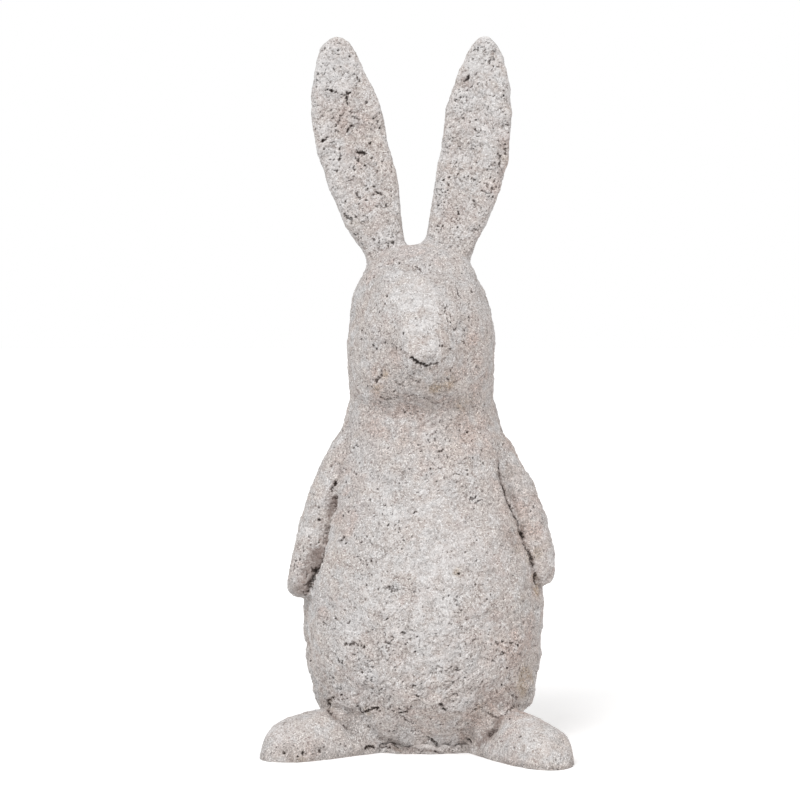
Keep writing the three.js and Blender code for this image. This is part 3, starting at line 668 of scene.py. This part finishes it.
class Marks:
    """Dents, dirt and painted shade gathered at the points of a mesh."""

    def __init__(self, points, tree, dice):
        self.points = points
        self.tree = tree
        self.dice = dice
        self.dent = np.zeros(len(points))
        self.pit_shade_and_dirt = np.zeros(len(points))
        self.crease_shade_and_grime = np.zeros(len(points))
        self.near = KDTree(len(points))
        for i, point in enumerate(points.tolist()):
            self.near.insert(point, i)
        self.near.balance()

    def press(self, place, half_width, depth, dark):
        """One dab: a hollow with steep ragged sides, with painted shade at its foot."""
        for point, i, away in self.near.find_range(place, half_width * 2.4):
            near = away / (half_width * ragged(point, 850, 0.75))
            if near < 1.6:
                deep = max(0.0, 1 - (near / 1.25) ** 2)
                self.dent[i] = max(self.dent[i], depth * deep)
                stain = min(1.0, max(0.0, (1.2 - near) / 0.6))
                self.pit_shade_and_dirt[i] = max(self.pit_shade_and_dirt[i], dark * stain)

    def darken_brown(self, place, half_width, strength):
        """A soft brown darkening, used as dirt beside cracks and as painted shade along creases."""
        for point, i, away in self.near.find_range(place, half_width * 2):
            near = away / (half_width * ragged(point, 420, 0.9))
            self.crease_shade_and_grime[i] = max(self.crease_shade_and_grime[i], strength * max(0.0, 1 - (near / 1.5) ** 2))

    def crack(self, places, half_width, depth, dark):
        """A row of dabs along a broken line, with crumbs beside it."""
        for place in stops(places, DAB_STEP):
            place += noise.noise_vector(place * 240) * 1.1 * MM
            waver = noise.noise(place * 140) + 0.5 * noise.noise(place * 450)
            swell = 0.95 + (1.5 - dark) * waver
            strayed = place + self.scatter(STRAY)
            if swell > 0.3:
                self.press(strayed, half_width * swell, depth * swell, dark * min(1, swell + 0.1))
            self.darken_brown(strayed, half_width * 2.2, 0.5 * dark)
            if self.dice.random() < CRUMB_CHANCE:
                crumb = place + self.scatter(CRUMB_SPREAD)
                self.press(crumb, CRUMB_RADIUS, CRUMB_DEPTH, dark * self.dice.uniform(0.2, 0.6))

    def scatter(self, spread):
        return Vector([self.dice.gauss(0, spread) for _ in range(3)])

    def on_front(self, u, v):
        """The surface behind a place in the frame, or None."""
        return self.tree.ray_cast(EYE, sight(u, v))[0]

    def behind(self, course):
        """The surface behind a course in the frame."""
        found = [self.on_front(u, v) for u, v in course]
        return [place for place in found if place is not None]

    def course(self, start, length):
        """A wandering line over the surface from a place on it."""
        step = 2.2 * MM
        places = [start]
        normal = self.tree.find_nearest(start)[1]
        heading = normal.cross(self.scatter(1)).normalized()
        for _ in range(round(length / step)):
            ahead = (heading + self.scatter(0.4)).normalized()
            place = self.tree.find_nearest(places[-1] + ahead * step)[0]
            heading = (place - places[-1]).normalized()
            places.append(place)
        return places

    def add_seen(self):
        """The cracks, the painted shade along creases, and the pits that the front shows."""
        for course, half_width, depth, dark in CRACKS:
            self.crack(self.behind(course), half_width * MM, depth * MM, dark)
        for course, half_width, strength in CREASE_SHADE_COURSES:
            for place in stops(self.behind(course), MM):
                self.darken_brown(place, half_width * MM, strength)
        for u, v, radius in PITS:
            place = self.on_front(u, v)
            if place is not None:
                self.press(place, radius * MM, radius * 1.6 * MM, self.dice.uniform(0.7, 1.0))

    def add_scattered(self, normals, rough):
        """Single pits all over, and cracks where the front isn't seen."""
        chance = np.random.default_rng(PIT_SEED).random(len(self.points))
        for i in np.flatnonzero(chance < 0.0008 + 0.0022 * rough):
            radius = min(1.1, 0.4 + self.dice.expovariate(5)) * MM
            self.press(Vector(self.points[i]), radius, radius * 1.4, self.dice.uniform(0.3, 0.8))
        unseen = np.flatnonzero(normals[:, 1] > -0.25)
        for i in self.dice.sample(unseen.tolist(), CRACKS_BEHIND):
            start = Vector(self.points[i])
            if start.z > CRACK_FLOOR:
                half_width = self.dice.uniform(*CRACK_HALF_WIDTHS)
                places = self.course(start, self.dice.uniform(*CRACK_LENGTHS) * MM)
                self.crack(places, half_width * MM, half_width * 1.6 * MM, self.dice.uniform(0.3, 0.9))


# Sculpting

# Heights in a noise at which one skin of cement ends over another
FLAKE_LEVELS = (-0.28, -0.05, 0.16, 0.36)

# How far the joint above the slab wavers and sinks towards the left, in mm
WAVER = 3.2
SINK = 0.9
SINK_LEFT = 1.5


def flakes(points, rough):
    """Skins of cement laid over each other: their steps, and the foot of each step, which is painted
    dark as shade.
    """
    twist = [field(points, 8 * MM, 2, shift) for shift in (2.2, 5.5, 8.8)]
    twisted = points + 3.2 * MM * np.stack(twist, axis=1)
    sheet = field(twisted, 17 * MM, 4, 7.3)
    steps = np.zeros(len(points))
    feet = np.zeros(len(points))
    for level in FLAKE_LEVELS:
        steps += ramp(sheet, level - 0.012, level + 0.02)
        feet = np.maximum(feet, ridge(sheet - level, -0.012, 0.014))
    broken = ramp(field(points, 6 * MM, 2, 9.9), 0.02, 0.25)
    return (steps - len(FLAKE_LEVELS) / 2) * (0.35 + 0.5 * rough), feet * broken * (0.35 + 0.65 * rough)


def trowel_strokes(points):
    """Long strokes low on the left of the belly, in mm."""
    x, y, z = points.T
    along = (x * 0.82 + z * 0.57) / 4.5
    across = (z * 0.82 - x * 0.57) * 1.3
    strokes = field(np.stack([along, across, y * 0.4], axis=1), 4.4 * MM, 2, 2.6)
    return strokes * (0.8 * bell(points, (0.02, -0.05, 0.05), (0.055, 0.06, 0.045)))


def texture(points, edges, rough, smooth, crease):
    """What the cement's own skin adds in mm, with the feet of its flakes and its air holes, which are
    also painted dark as shade.
    """
    dents = field(points, 12 * MM, 3, 8.7) * (0.85 - 0.2 * rough - 0.3 * smooth)
    tooth = field(points, 3.1 * MM, 3, 5.2) * (0.36 + 0.06 * rough - 0.1 * smooth + 0.5 * crease)
    grains = np.random.default_rng(SAND_SEED).normal(0, 0.14, (len(points), 1))
    sand = relax(grains, edges, 1, 0.3)[:, 0]
    steps, feet = flakes(points, rough)
    steps *= 0.65 * (1 - 0.7 * smooth)
    feet *= 1 - 0.6 * smooth
    holes = field(points, 2.2 * MM, 2, 4.4) + 0.5 * field(points, 19 * MM, 2, 6.6) + 0.06 * rough
    holes = ramp(holes, 0.66, 0.82) * (1 - 0.6 * smooth)
    return dents + tooth + sand + steps + trowel_strokes(points), feet, holes


def settle(points, normals, moved):
    """Levels the underside, and lets the joint above the slab waver, with all that is around it."""
    x, _, z = points.T
    under = (normals[:, 2] < -0.7) & (z < LEDGE + 0.6 * MM)
    moved[:, 2] = np.where(under, z, moved[:, 2])
    level = points * (1, 1, 0)
    waver = WAVER * field(level, 13 * MM, 3, 3.3) - SINK - SINK_LEFT * ramp(x, -10 * MM, 40 * MM)
    moved[:, 2] += waver * MM * ridge(z, LEDGE, 5 * MM)
    moved[:, 2] = np.where(z < 0.7 * MM, 0.0, np.maximum(moved[:, 2], 0.0))


def keep_tints(mesh, points, tree):
    """Keeps each tint's strength: a slow drift of the pale and the warm one, then the patches."""
    mottle = field(points, 9 * MM, 3, 1.3)
    drifts = {"pale": field(points, 36 * MM, 3, 6.1), "warm": field(points, 30 * MM, 3, 3.9)}
    for name, patches in TINTS.items():
        tint = 0.4 * ramp(drifts[name], 0.1, 0.5) if name in drifts else np.zeros(len(points))
        for u, v, reach, strength in patches:
            tint = np.maximum(tint, strength * spot(points, tree, u, v, reach))
        # painted shade also darkens everything within a few mm of the ground
        if name == "painted_shade":
            tint = np.maximum(tint, ridge(points[:, 2], 0, 6 * MM))
        tint = tint * (1 + 1.1 * mottle)
        keep(mesh, name, np.clip(0.5 * tint + 0.5 * ramp(tint, 0.2, 0.7), 0, 1))


def work_over(mesh, tree, dice, rough, smooth):
    """Gives a smooth mesh its worked surface, and keeps what the paint needs as attributes."""
    points = coordinates(mesh)
    normals = normals_of(mesh)
    edges = edges_of(mesh)

    marks = Marks(points, tree, dice)
    marks.add_scattered(normals, rough)
    marks.add_seen()

    # creases between the castings, where the mortar crumbles; they are painted darker as shade
    inward = np.sum((relax(points, edges, 40, 0.5) - points) * normals, axis=1)
    crease = ramp(inward, 0.18 * MM, 0.9 * MM)

    hollows = np.zeros(len(points))
    for u, v, reach, depth in HOLLOWS:
        hollows += depth * spot(points, tree, u, v, reach)

    skin, feet, holes = texture(points, edges, rough, smooth, crease)
    height = skin - hollows - 0.9 * holes - 0.4 * feet - 0.5 * crease
    moved = points + normals * (height * MM - marks.dent)[:, None]
    settle(points, normals, moved)
    set_coordinates(mesh, moved)

    proud = np.sum((moved - relax(moved, edges, 8, 0.5)) * normals, axis=1) / (0.25 * MM)
    keep(mesh, "relief", np.clip(proud, -1.5, 1.5))
    # painted shade in the pits and cracks and at the feet of the flakes
    keep(mesh, "pit_shade_and_dirt", np.maximum.reduce([marks.pit_shade_and_dirt, 0.7 * feet, 0.6 * holes]))
    seam = 0.35 * ridge(points[:, 2], LEDGE, 2.2 * MM) * (1 - smooth)
    # painted shade in the creases, the dark joint above the slab, and brown along cracks and creased
    # courses
    keep(mesh, "crease_shade_and_grime", np.clip(np.maximum.reduce([crease, seam, marks.crease_shade_and_grime]), 0, 1))
    keep_tints(mesh, points, tree)


# Cutting into castings

# Space between the sheets of a layout, the most that a cap reaches inwards, and the corner of the
# layout that the caps share
SHEET_GAP = 1.5 * MM
CAP_DEPTH = 3 * MM
CAP_CORNER = 0.999


def rims(quads):
    """The closed rims of a patch of faces, as rows of point numbers against the faces' turn."""
    count = int(quads.max()) + 1
    starts = quads.ravel().astype(np.int64)
    ends = np.roll(quads, -1, axis=1).ravel().astype(np.int64)
    is_open = ~np.isin(ends * count + starts, starts * count + ends)
    following = {}
    for start, end in zip(ends[is_open].tolist(), starts[is_open].tolist()):
        following.setdefault(start, []).append(end)
    loops = []
    while following:
        place = next(iter(following))
        loop = []
        while place in following:
            loop.append(place)
            onward = following[place]
            if len(onward) == 1:
                del following[place]
            place = onward.pop()
        loops.append(loop)
    return loops


def layout(facing, corners):
    """Flat layout of a patch: its faces sorted by the side that they look to, each side whole."""
    axis = np.abs(facing).argmax(axis=1)
    side = axis * 2 + (facing[np.arange(len(facing)), axis] > 0)
    flat = np.zeros(corners.shape[:2] + (2,))
    sheets = []
    for k in range(6):
        chosen = side == k
        if chosen.any():
            across = [other for other in range(3) if other != k // 2]
            places = corners[chosen][:, :, across]
            low = places.reshape(-1, 2).min(axis=0)
            sheets.append((k, places.reshape(-1, 2).max(axis=0) - low))
            flat[chosen] = places - low
    sheets.sort(key=lambda sheet: -sheet[1][1])
    width = max(size[0] for _, size in sheets) + SHEET_GAP
    spots, height = shelves(sheets, width)
    while height > width:
        width *= 1.03
        spots, height = shelves(sheets, width)
    for k, spot in spots.items():
        flat[side == k] += spot
    return flat / width


def shelves(sheets, width):
    """Places of sheets set side by side in rows no wider than the width, and the rows' height."""
    x = y = row = 0.0
    spots = {}
    for k, size in sheets:
        if x + size[0] + SHEET_GAP > width:
            x = 0.0
            y += row
            row = 0.0
        spots[k] = np.array([x, y])
        x += size[0] + SHEET_GAP
        row = max(row, size[1] + SHEET_GAP)
    return spots, y + row


def make_piece(node, mesh, mine, smooth_points, smooth_normals):
    """One closed object for a casting, from its share of the skin, with a cone over each rim."""
    name = node.removesuffix("_shell") + "_casting"
    points = coordinates(mesh)
    normals = normals_of(mesh)
    used, local = np.unique(mine, return_inverse=True)
    local = local.reshape(-1, 4)
    where = points[used]
    heart = where.mean(axis=0)
    middles = []
    caps = []
    for loop in rims(local):
        rim = where[loop]
        middle = rim.mean(axis=0)
        inward = heart - middle
        depth = min(CAP_DEPTH, 0.2 * np.ptp(rim, axis=0).max())
        number = len(used) + len(middles)
        middles.append(middle + inward / np.linalg.norm(inward) * depth)
        caps += [(a, b, number) for a, b in zip(loop, loop[1:] + loop[:1])]
    piece = bpy.data.meshes.new(name)
    piece.from_pydata(where.tolist() + [m.tolist() for m in middles], [], local.tolist() + caps)
    piece.shade_smooth()
    for title in PAINT:
        keep(piece, title, np.concatenate([kept(mesh, title)[used], np.zeros(len(middles))]))
    flat = layout(smooth_normals[mine].mean(axis=1), smooth_points[mine])
    corner = np.full((3 * len(caps), 2), CAP_CORNER)
    places = np.vstack([flat.reshape(-1, 2), corner]).astype(np.float32)
    piece.uv_layers.new(name="OFBake").data.foreach_set("uv", places.ravel())
    # a zero leaves the cap's own normal
    turned = np.vstack([normals[mine.ravel()], np.zeros((3 * len(caps), 3))])
    piece.normals_split_custom_set(turned.tolist())
    return add_object(name, piece)


def dress(piece, node, material):
    """Makes a piece stand for its casting."""
    piece.data.materials.append(material)
    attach(piece, "root")
    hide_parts(node)


# Materials


class Graph:
    """Builds the nodes of a material or of the world."""

    def __init__(self, owner):
        owner.use_nodes = True
        self.tree = owner.node_tree
        self.tree.nodes.clear()

    def node(self, kind, inputs, **settings):
        """A node with its inputs linked to sockets or set to values."""
        made = self.tree.nodes.new("ShaderNode" + kind)
        for name, value in settings.items():
            setattr(made, name, value)
        for name, value in inputs.items():
            self.give(made.inputs[name], value)
        return made

    def give(self, socket, value):
        if isinstance(value, bpy.types.NodeSocket):
            self.tree.links.new(value, socket)
        else:
            socket.default_value = value

    def mix(self, factor, under, over, blend="MIX"):
        inputs = {0: factor, 6: under, 7: over}
        return self.node("Mix", inputs, data_type="RGBA", blend_type=blend).outputs[2]

    def coat(self, under, amount, most, over):
        """Lays one colour over another by an amount, of which this share is the most."""
        return self.mix(self.times(amount, most), under, over)

    def math(self, operation, a, b=0.0):
        return self.node("Math", {0: a, 1: b}, operation=operation).outputs[0]

    def times(self, a, b):
        return self.math("MULTIPLY", a, b)

    def spread(self, value, low, high):
        """0 where the value is low, 1 where it is high."""
        inputs = {"Value": value, "From Min": low, "From Max": high}
        return self.node("MapRange", inputs).outputs["Result"]

    def attribute(self, name):
        return self.node("Attribute", {}, attribute_name=name).outputs["Fac"]

    def place(self):
        return self.node("TexCoord", {}).outputs["Object"]

    def raw_noise(self, place, scale, detail):
        """A noise texture with this many swells in a metre."""
        return self.node("TexNoise", {"Vector": place, "Scale": scale, "Detail": detail})

    def noise(self, place, scale, detail, low, high, away=(0, 0, 0)):
        """Noise that is spread between two of its values."""
        moved = self.node("VectorMath", {0: place, 1: away}).outputs[0]
        return self.spread(self.raw_noise(moved, scale, detail).outputs["Fac"], low, high)

    def surface(self, colour, height, strength, depth, constants):
        """Shades a bumpy material, with its constant values on the shader's own sockets."""
        bump = self.node("Bump", {"Height": height, "Strength": strength, "Distance": depth})
        inputs = {"Base Color": colour, "Normal": bump.outputs["Normal"], **constants}
        shader = self.node("BsdfPrincipled", inputs)
        self.node("OutputMaterial", {"Surface": shader.outputs[0]})


# Colours of the cement
GREY = (0.51, 0.475, 0.458, 1)
SAND = (0.545, 0.487, 0.455, 1)
COOL = (0.56, 0.545, 0.54, 1)
# brown of dirt, also used as painted shade in the creases
BROWN = (0.22, 0.165, 0.145, 1)
# painted shade in the small hollows of the relief
HOLLOW_SHADE = (0.22, 0.18, 0.162, 1)
# painted shade deep in pits, cracks and air holes
PIT_SHADE = (0.04, 0.03, 0.026, 1)
CHIP = (0.84, 0.80, 0.78, 1)
SPECK = (0.2, 0.18, 0.168, 1)

# Colours of the tints, in the order that they are laid on, and the most that shows of each
TINT_COLOURS = {
    "cold": ((0.52, 0.505, 0.505, 1), 0.8),
    "warm": ((0.485, 0.388, 0.35, 1), 0.8),
    "pale": ((0.70, 0.692, 0.692, 1), 0.85),
    "stain": ((0.39, 0.30, 0.21, 1), 0.75),
    # painted shade, laid over the other tints
    "painted_shade": ((0.30, 0.268, 0.25, 1), 0.6),
}

# Brightness of the sand's grains, from the darkest to the palest share of them
GRAINS = [(0.0, 0.2), (0.1, 0.35), (0.3, 0.46), (0.72, 0.55), (0.92, 0.68), (1.0, 0.92)]
GRAINS_PER_METRE = 1500.0
HOLES_PER_METRE = 290.0

# Colours of the steel
STEEL_DARK = (0.46, 0.44, 0.42, 1)
STEEL_LIGHT = (0.62, 0.63, 0.65, 1)


def cement_base(graph, place):
    """A slow drift between a grey and a sandy cement, then the tints, the last of which is painted
    shade.
    """
    colour = graph.mix(graph.noise(place, 28, 3, 0.35, 0.65), GREY, SAND)
    colour = graph.mix(graph.noise(place, 95, 4, 0.44, 0.64, (3, 1, 7)), colour, COOL)
    for name, (tint, most) in TINT_COLOURS.items():
        colour = graph.coat(colour, graph.attribute(name), most, tint)
    return colour


def add_sand(graph, place, colour):
    """Grains of many brightnesses, with pale chips among them."""
    grains = graph.node("TexVoronoi", {"Vector": place, "Scale": GRAINS_PER_METRE}).outputs["Color"]
    level = graph.node("SeparateColor", {0: grains}).outputs[0]
    steps = graph.node("ValToRGB", {0: level})
    elements = steps.color_ramp.elements
    for position, _ in GRAINS[1:-1]:
        elements.new(position)
    for element, (position, value) in zip(elements, GRAINS):
        element.position = position
        element.color = (value, value, value, 1)
    colour = graph.mix(1.0, colour, steps.outputs["Color"], "OVERLAY")
    return graph.coat(colour, graph.noise(place, 950, 2, 0.57, 0.70, (5, 2, 1)), 0.85, CHIP)


def dark_specks(graph, place):
    specks = graph.noise(place, 700, 2, 0.57, 0.67, (1, 8, 2))
    return graph.times(specks, graph.noise(place, 85, 2, 0.42, 0.6))


def air_holes(graph, place):
    """Small air holes, close together in places."""
    wobble = graph.raw_noise(place, 900.0, 2.0).outputs["Color"]
    shaken = graph.node("VectorMath", {0: wobble, 3: 1.6 * MM}, operation="SCALE").outputs[0]
    shaken = graph.node("VectorMath", {0: place, 1: shaken}).outputs[0]
    cells = graph.node("TexVoronoi", {"Vector": shaken, "Scale": HOLES_PER_METRE})
    holes = graph.spread(cells.outputs["Distance"], 0.17, 0.10)
    kind = graph.node("SeparateColor", {0: cells.outputs["Color"]}).outputs[1]
    holes = graph.times(holes, graph.spread(kind, 0.6, 0.62))
    return graph.times(holes, graph.noise(place, 38, 3, 0.49, 0.56, (2, 2, 5)))


def drying_lines(graph, place):
    """Thin broken lines left by the drying of the skin."""
    bent = graph.raw_noise(place, 150.0, 4.0).outputs["Fac"]
    off_line = graph.math("ABSOLUTE", graph.math("SUBTRACT", bent, 0.5))
    lines = graph.spread(off_line, 0.02, 0.004)
    lines = graph.times(lines, graph.noise(place, 60, 3, 0.48, 0.6, (4, 9, 3)))
    return graph.times(lines, graph.noise(place, 430, 2, 0.42, 0.56, (6, 6, 1)))


def add_dirt_and_shade(graph, place, colour):
    """Proud grains are painted pale, as wear and painted highlight; hollows, creases and pits are
    painted dark as shade, with brown along cracks and a dark joint above the slab.
    """
    relief = graph.attribute("relief")
    colour = graph.coat(colour, graph.spread(relief, 0.1, 1.6), 0.45, CHIP)
    colour = graph.coat(colour, graph.spread(relief, -0.1, -1.5), 0.5, HOLLOW_SHADE)
    ragged_edge = graph.noise(place, 780, 3, 0.3, 0.7, (9, 4, 6))
    crease_shade_and_grime = graph.math("ADD", graph.attribute("crease_shade_and_grime"), graph.times(ragged_edge, 0.5))
    colour = graph.coat(colour, graph.spread(crease_shade_and_grime, 0.5, 1.4), 0.8, BROWN)
    pit_shade_and_dirt = graph.attribute("pit_shade_and_dirt")
    edged = graph.spread(graph.math("ADD", pit_shade_and_dirt, graph.times(ragged_edge, 0.7)), 0.55, 1.15)
    return graph.coat(colour, graph.times(edged, graph.spread(pit_shade_and_dirt, 0.03, 0.2)), 0.95, PIT_SHADE)


def cement_material():
    material = bpy.data.materials.new("cement")
    graph = Graph(material)
    place = graph.place()
    specks = dark_specks(graph, place)
    holes = air_holes(graph, place)
    lines = drying_lines(graph, place)
    colour = cement_base(graph, place)
    colour = add_sand(graph, place, colour)
    colour = graph.coat(colour, specks, 0.55, SPECK)
    # painted shade in the small air holes
    colour = graph.coat(colour, holes, 0.85, PIT_SHADE)
    colour = graph.coat(colour, lines, 0.7, BROWN)
    colour = add_dirt_and_shade(graph, place, colour)
    height = graph.raw_noise(place, 950.0, 3.0).outputs["Fac"]
    for mark, depth in ((specks, 0.5), (lines, 0.7), (holes, 1.2)):
        height = graph.math("SUBTRACT", height, graph.times(mark, depth))
    graph.surface(colour, height, 0.8, 0.45 * MM, {"Roughness": 0.94, "Specular IOR Level": 0.2})
    return material


def steel_material():
    material = bpy.data.materials.new("steel")
    graph = Graph(material)
    place = graph.place()
    colour = graph.mix(graph.noise(place, 160, 4, 0.0, 1.0), STEEL_DARK, STEEL_LIGHT)
    grain = graph.raw_noise(place, 900.0, 2.0).outputs["Fac"]
    graph.surface(colour, grain, 0.3, 0.1 * MM, {"Metallic": 1.0, "Roughness": 0.42})
    return material


# The pieces

# How far the mortar fills the joint above the slab, and how far the slab's sides reach past its solid
MORTAR_RISE = 1.3 * MM
SIDE_REACH = 0.5 * MM


def make_figure(cement, dice):
    """Every casting but the slab, cut from one worked skin."""
    skin = even_mesh(NAMES)
    soften(skin)
    points = coordinates(skin)
    normals = normals_of(skin)
    quads = quads_of(skin)
    share = shares(points, edges_of(skin))
    ears = share[:, NAMES.index("left_ear")] + share[:, NAMES.index("right_ear")]
    feet = share[:, NAMES.index("left_foot")] + share[:, NAMES.index("right_foot")]
    low = (1 - ramp(points[:, 2], 45 * MM, 125 * MM)) * (1 - feet)
    chin = bell(points, (-0.005, -0.05, NECK + 8 * MM), (0.05, 0.05, 0.018))
    # the flat sides of the ears are rough, and their edges are worn smooth
    flat_side = ramp(np.abs(normals[:, 1]), 0.3, 0.8)
    rough = np.maximum.reduce([ears * flat_side, 0.85 * low, 0.8 * chin])
    smooth = np.maximum(feet, 0.9 * ears * (1 - flat_side))
    work_over(skin, tree_over(points, quads), dice, rough, smooth)
    owner = share[quads].sum(axis=1).argmax(axis=1)
    for k, node in enumerate(NAMES):
        piece = make_piece(node, skin, quads[owner == k], points, normals)
        dress(piece, node, cement)
    bpy.data.meshes.remove(skin)


def make_slab(cement, dice):
    """The slab stays apart, because a vent goes through it. Mortar fills most of its joint."""
    skin = even_mesh([SLAB])
    points = coordinates(skin)
    normals = normals_of(skin)
    quads = quads_of(skin)
    tree = tree_over(points, quads)
    filled = np.ones(len(points))
    for u, v, reach in OPEN_JOINT:
        filled -= spot(points, tree, u, v, reach, (1, 4, 3))
    at_rim = ramp(points[:, 2], LEDGE - 2.5 * MM, LEDGE - 0.5 * MM)
    points[:, 2] += MORTAR_RISE * at_rim * np.clip(filled, 0, 1)
    points[:, :2] += SIDE_REACH * normals[:, :2]
    set_coordinates(skin, points)
    work_over(skin, tree, dice, 0.5, 0.0)
    piece = make_piece(SLAB, skin, quads, points, normals_of(skin))
    dress(piece, SLAB, cement)
    bpy.data.meshes.remove(skin)


cement = cement_material()
steel = steel_material()
# without a seed, the vector noise by which the cracks wander starts from the clock
noise.seed_set(WANDER_SEED)
make_figure(cement, random.Random(FIGURE_SEED))
make_slab(cement, random.Random(SLAB_SEED))

for node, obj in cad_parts.items():
    if node not in NAMES and node != SLAB:
        obj.data.materials.clear()
        obj.data.materials.append(steel)

# Floor and light

FLOOR_HALF = 12.0
FLOOR_COLOUR = (0.9, 0.9, 0.9, 1)
FLOOR_GLOW = 0.32
SKY_LIGHT = 0.55
WHITE = (1, 1, 1, 1)


def make_floor():
    """A pale floor that keeps the figure's shadow, and glows to white for the camera alone."""
    mesh = bpy.data.meshes.new("floor")
    corners = [(x * FLOOR_HALF, y * FLOOR_HALF, 0) for x, y in ((-1, -1), (1, -1), (1, 1), (-1, 1))]
    mesh.from_pydata(corners, [], [(0, 1, 2, 3)])
    material = bpy.data.materials.new("floor")
    graph = Graph(material)
    diffuse = graph.node("BsdfDiffuse", {"Color": FLOOR_COLOUR}).outputs[0]
    glow = graph.node("Emission", {"Color": WHITE, "Strength": FLOOR_GLOW}).outputs[0]
    both = graph.node("AddShader", {0: diffuse, 1: glow}).outputs[0]
    seen = graph.node("LightPath", {}).outputs["Is Camera Ray"]
    chosen = graph.node("MixShader", {0: seen, 1: diffuse, 2: both}).outputs[0]
    graph.node("OutputMaterial", {"Surface": chosen})
    mesh.materials.append(material)
    floor = add_object("floor", mesh)


def make_world():
    """A plain sky that lights softly, and is white where the camera, gloss or glass shows it."""
    world = bpy.data.worlds.new("world")
    bpy.context.scene.world = world
    graph = Graph(world)
    light = graph.node("Background", {"Color": WHITE, "Strength": SKY_LIGHT}).outputs[0]
    white = graph.node("Background", {"Color": WHITE, "Strength": 1.0}).outputs[0]
    rays = graph.node("LightPath", {})
    seen = graph.math("MAXIMUM", rays.outputs["Is Camera Ray"], rays.outputs["Is Glossy Ray"])
    seen = graph.math("MAXIMUM", seen, rays.outputs["Is Transmission Ray"])
    chosen = graph.node("MixShader", {0: seen, 1: light, 2: white}).outputs[0]
    graph.node("OutputWorld", {"Surface": chosen})


def add_sun(name, azimuth, elevation, strength, softness, colour):
    """A broad lamp far off. Its azimuth goes from the front to the left of the frame, in degrees."""
    data = bpy.data.lights.new(name, "SUN")
    data.energy = strength
    data.color = colour
    data.angle = math.radians(softness)
    lamp = add_object(name, data)
    a, e = math.radians(azimuth), math.radians(elevation)
    towards = Vector((-math.sin(a) * math.cos(e), -math.cos(a) * math.cos(e), math.sin(e)))
    lamp.rotation_mode = "QUATERNION"
    lamp.rotation_quaternion = towards.to_track_quat("Z", "Y")


make_floor()
make_world()
add_sun("key", azimuth=30, elevation=48, strength=1.5, softness=30, colour=(1, 1, 1))
add_sun("fill", azimuth=-50, elevation=30, strength=0.55, softness=60, colour=(1, 0.92, 0.88))
bpy.context.scene.view_settings.view_transform = "Standard"
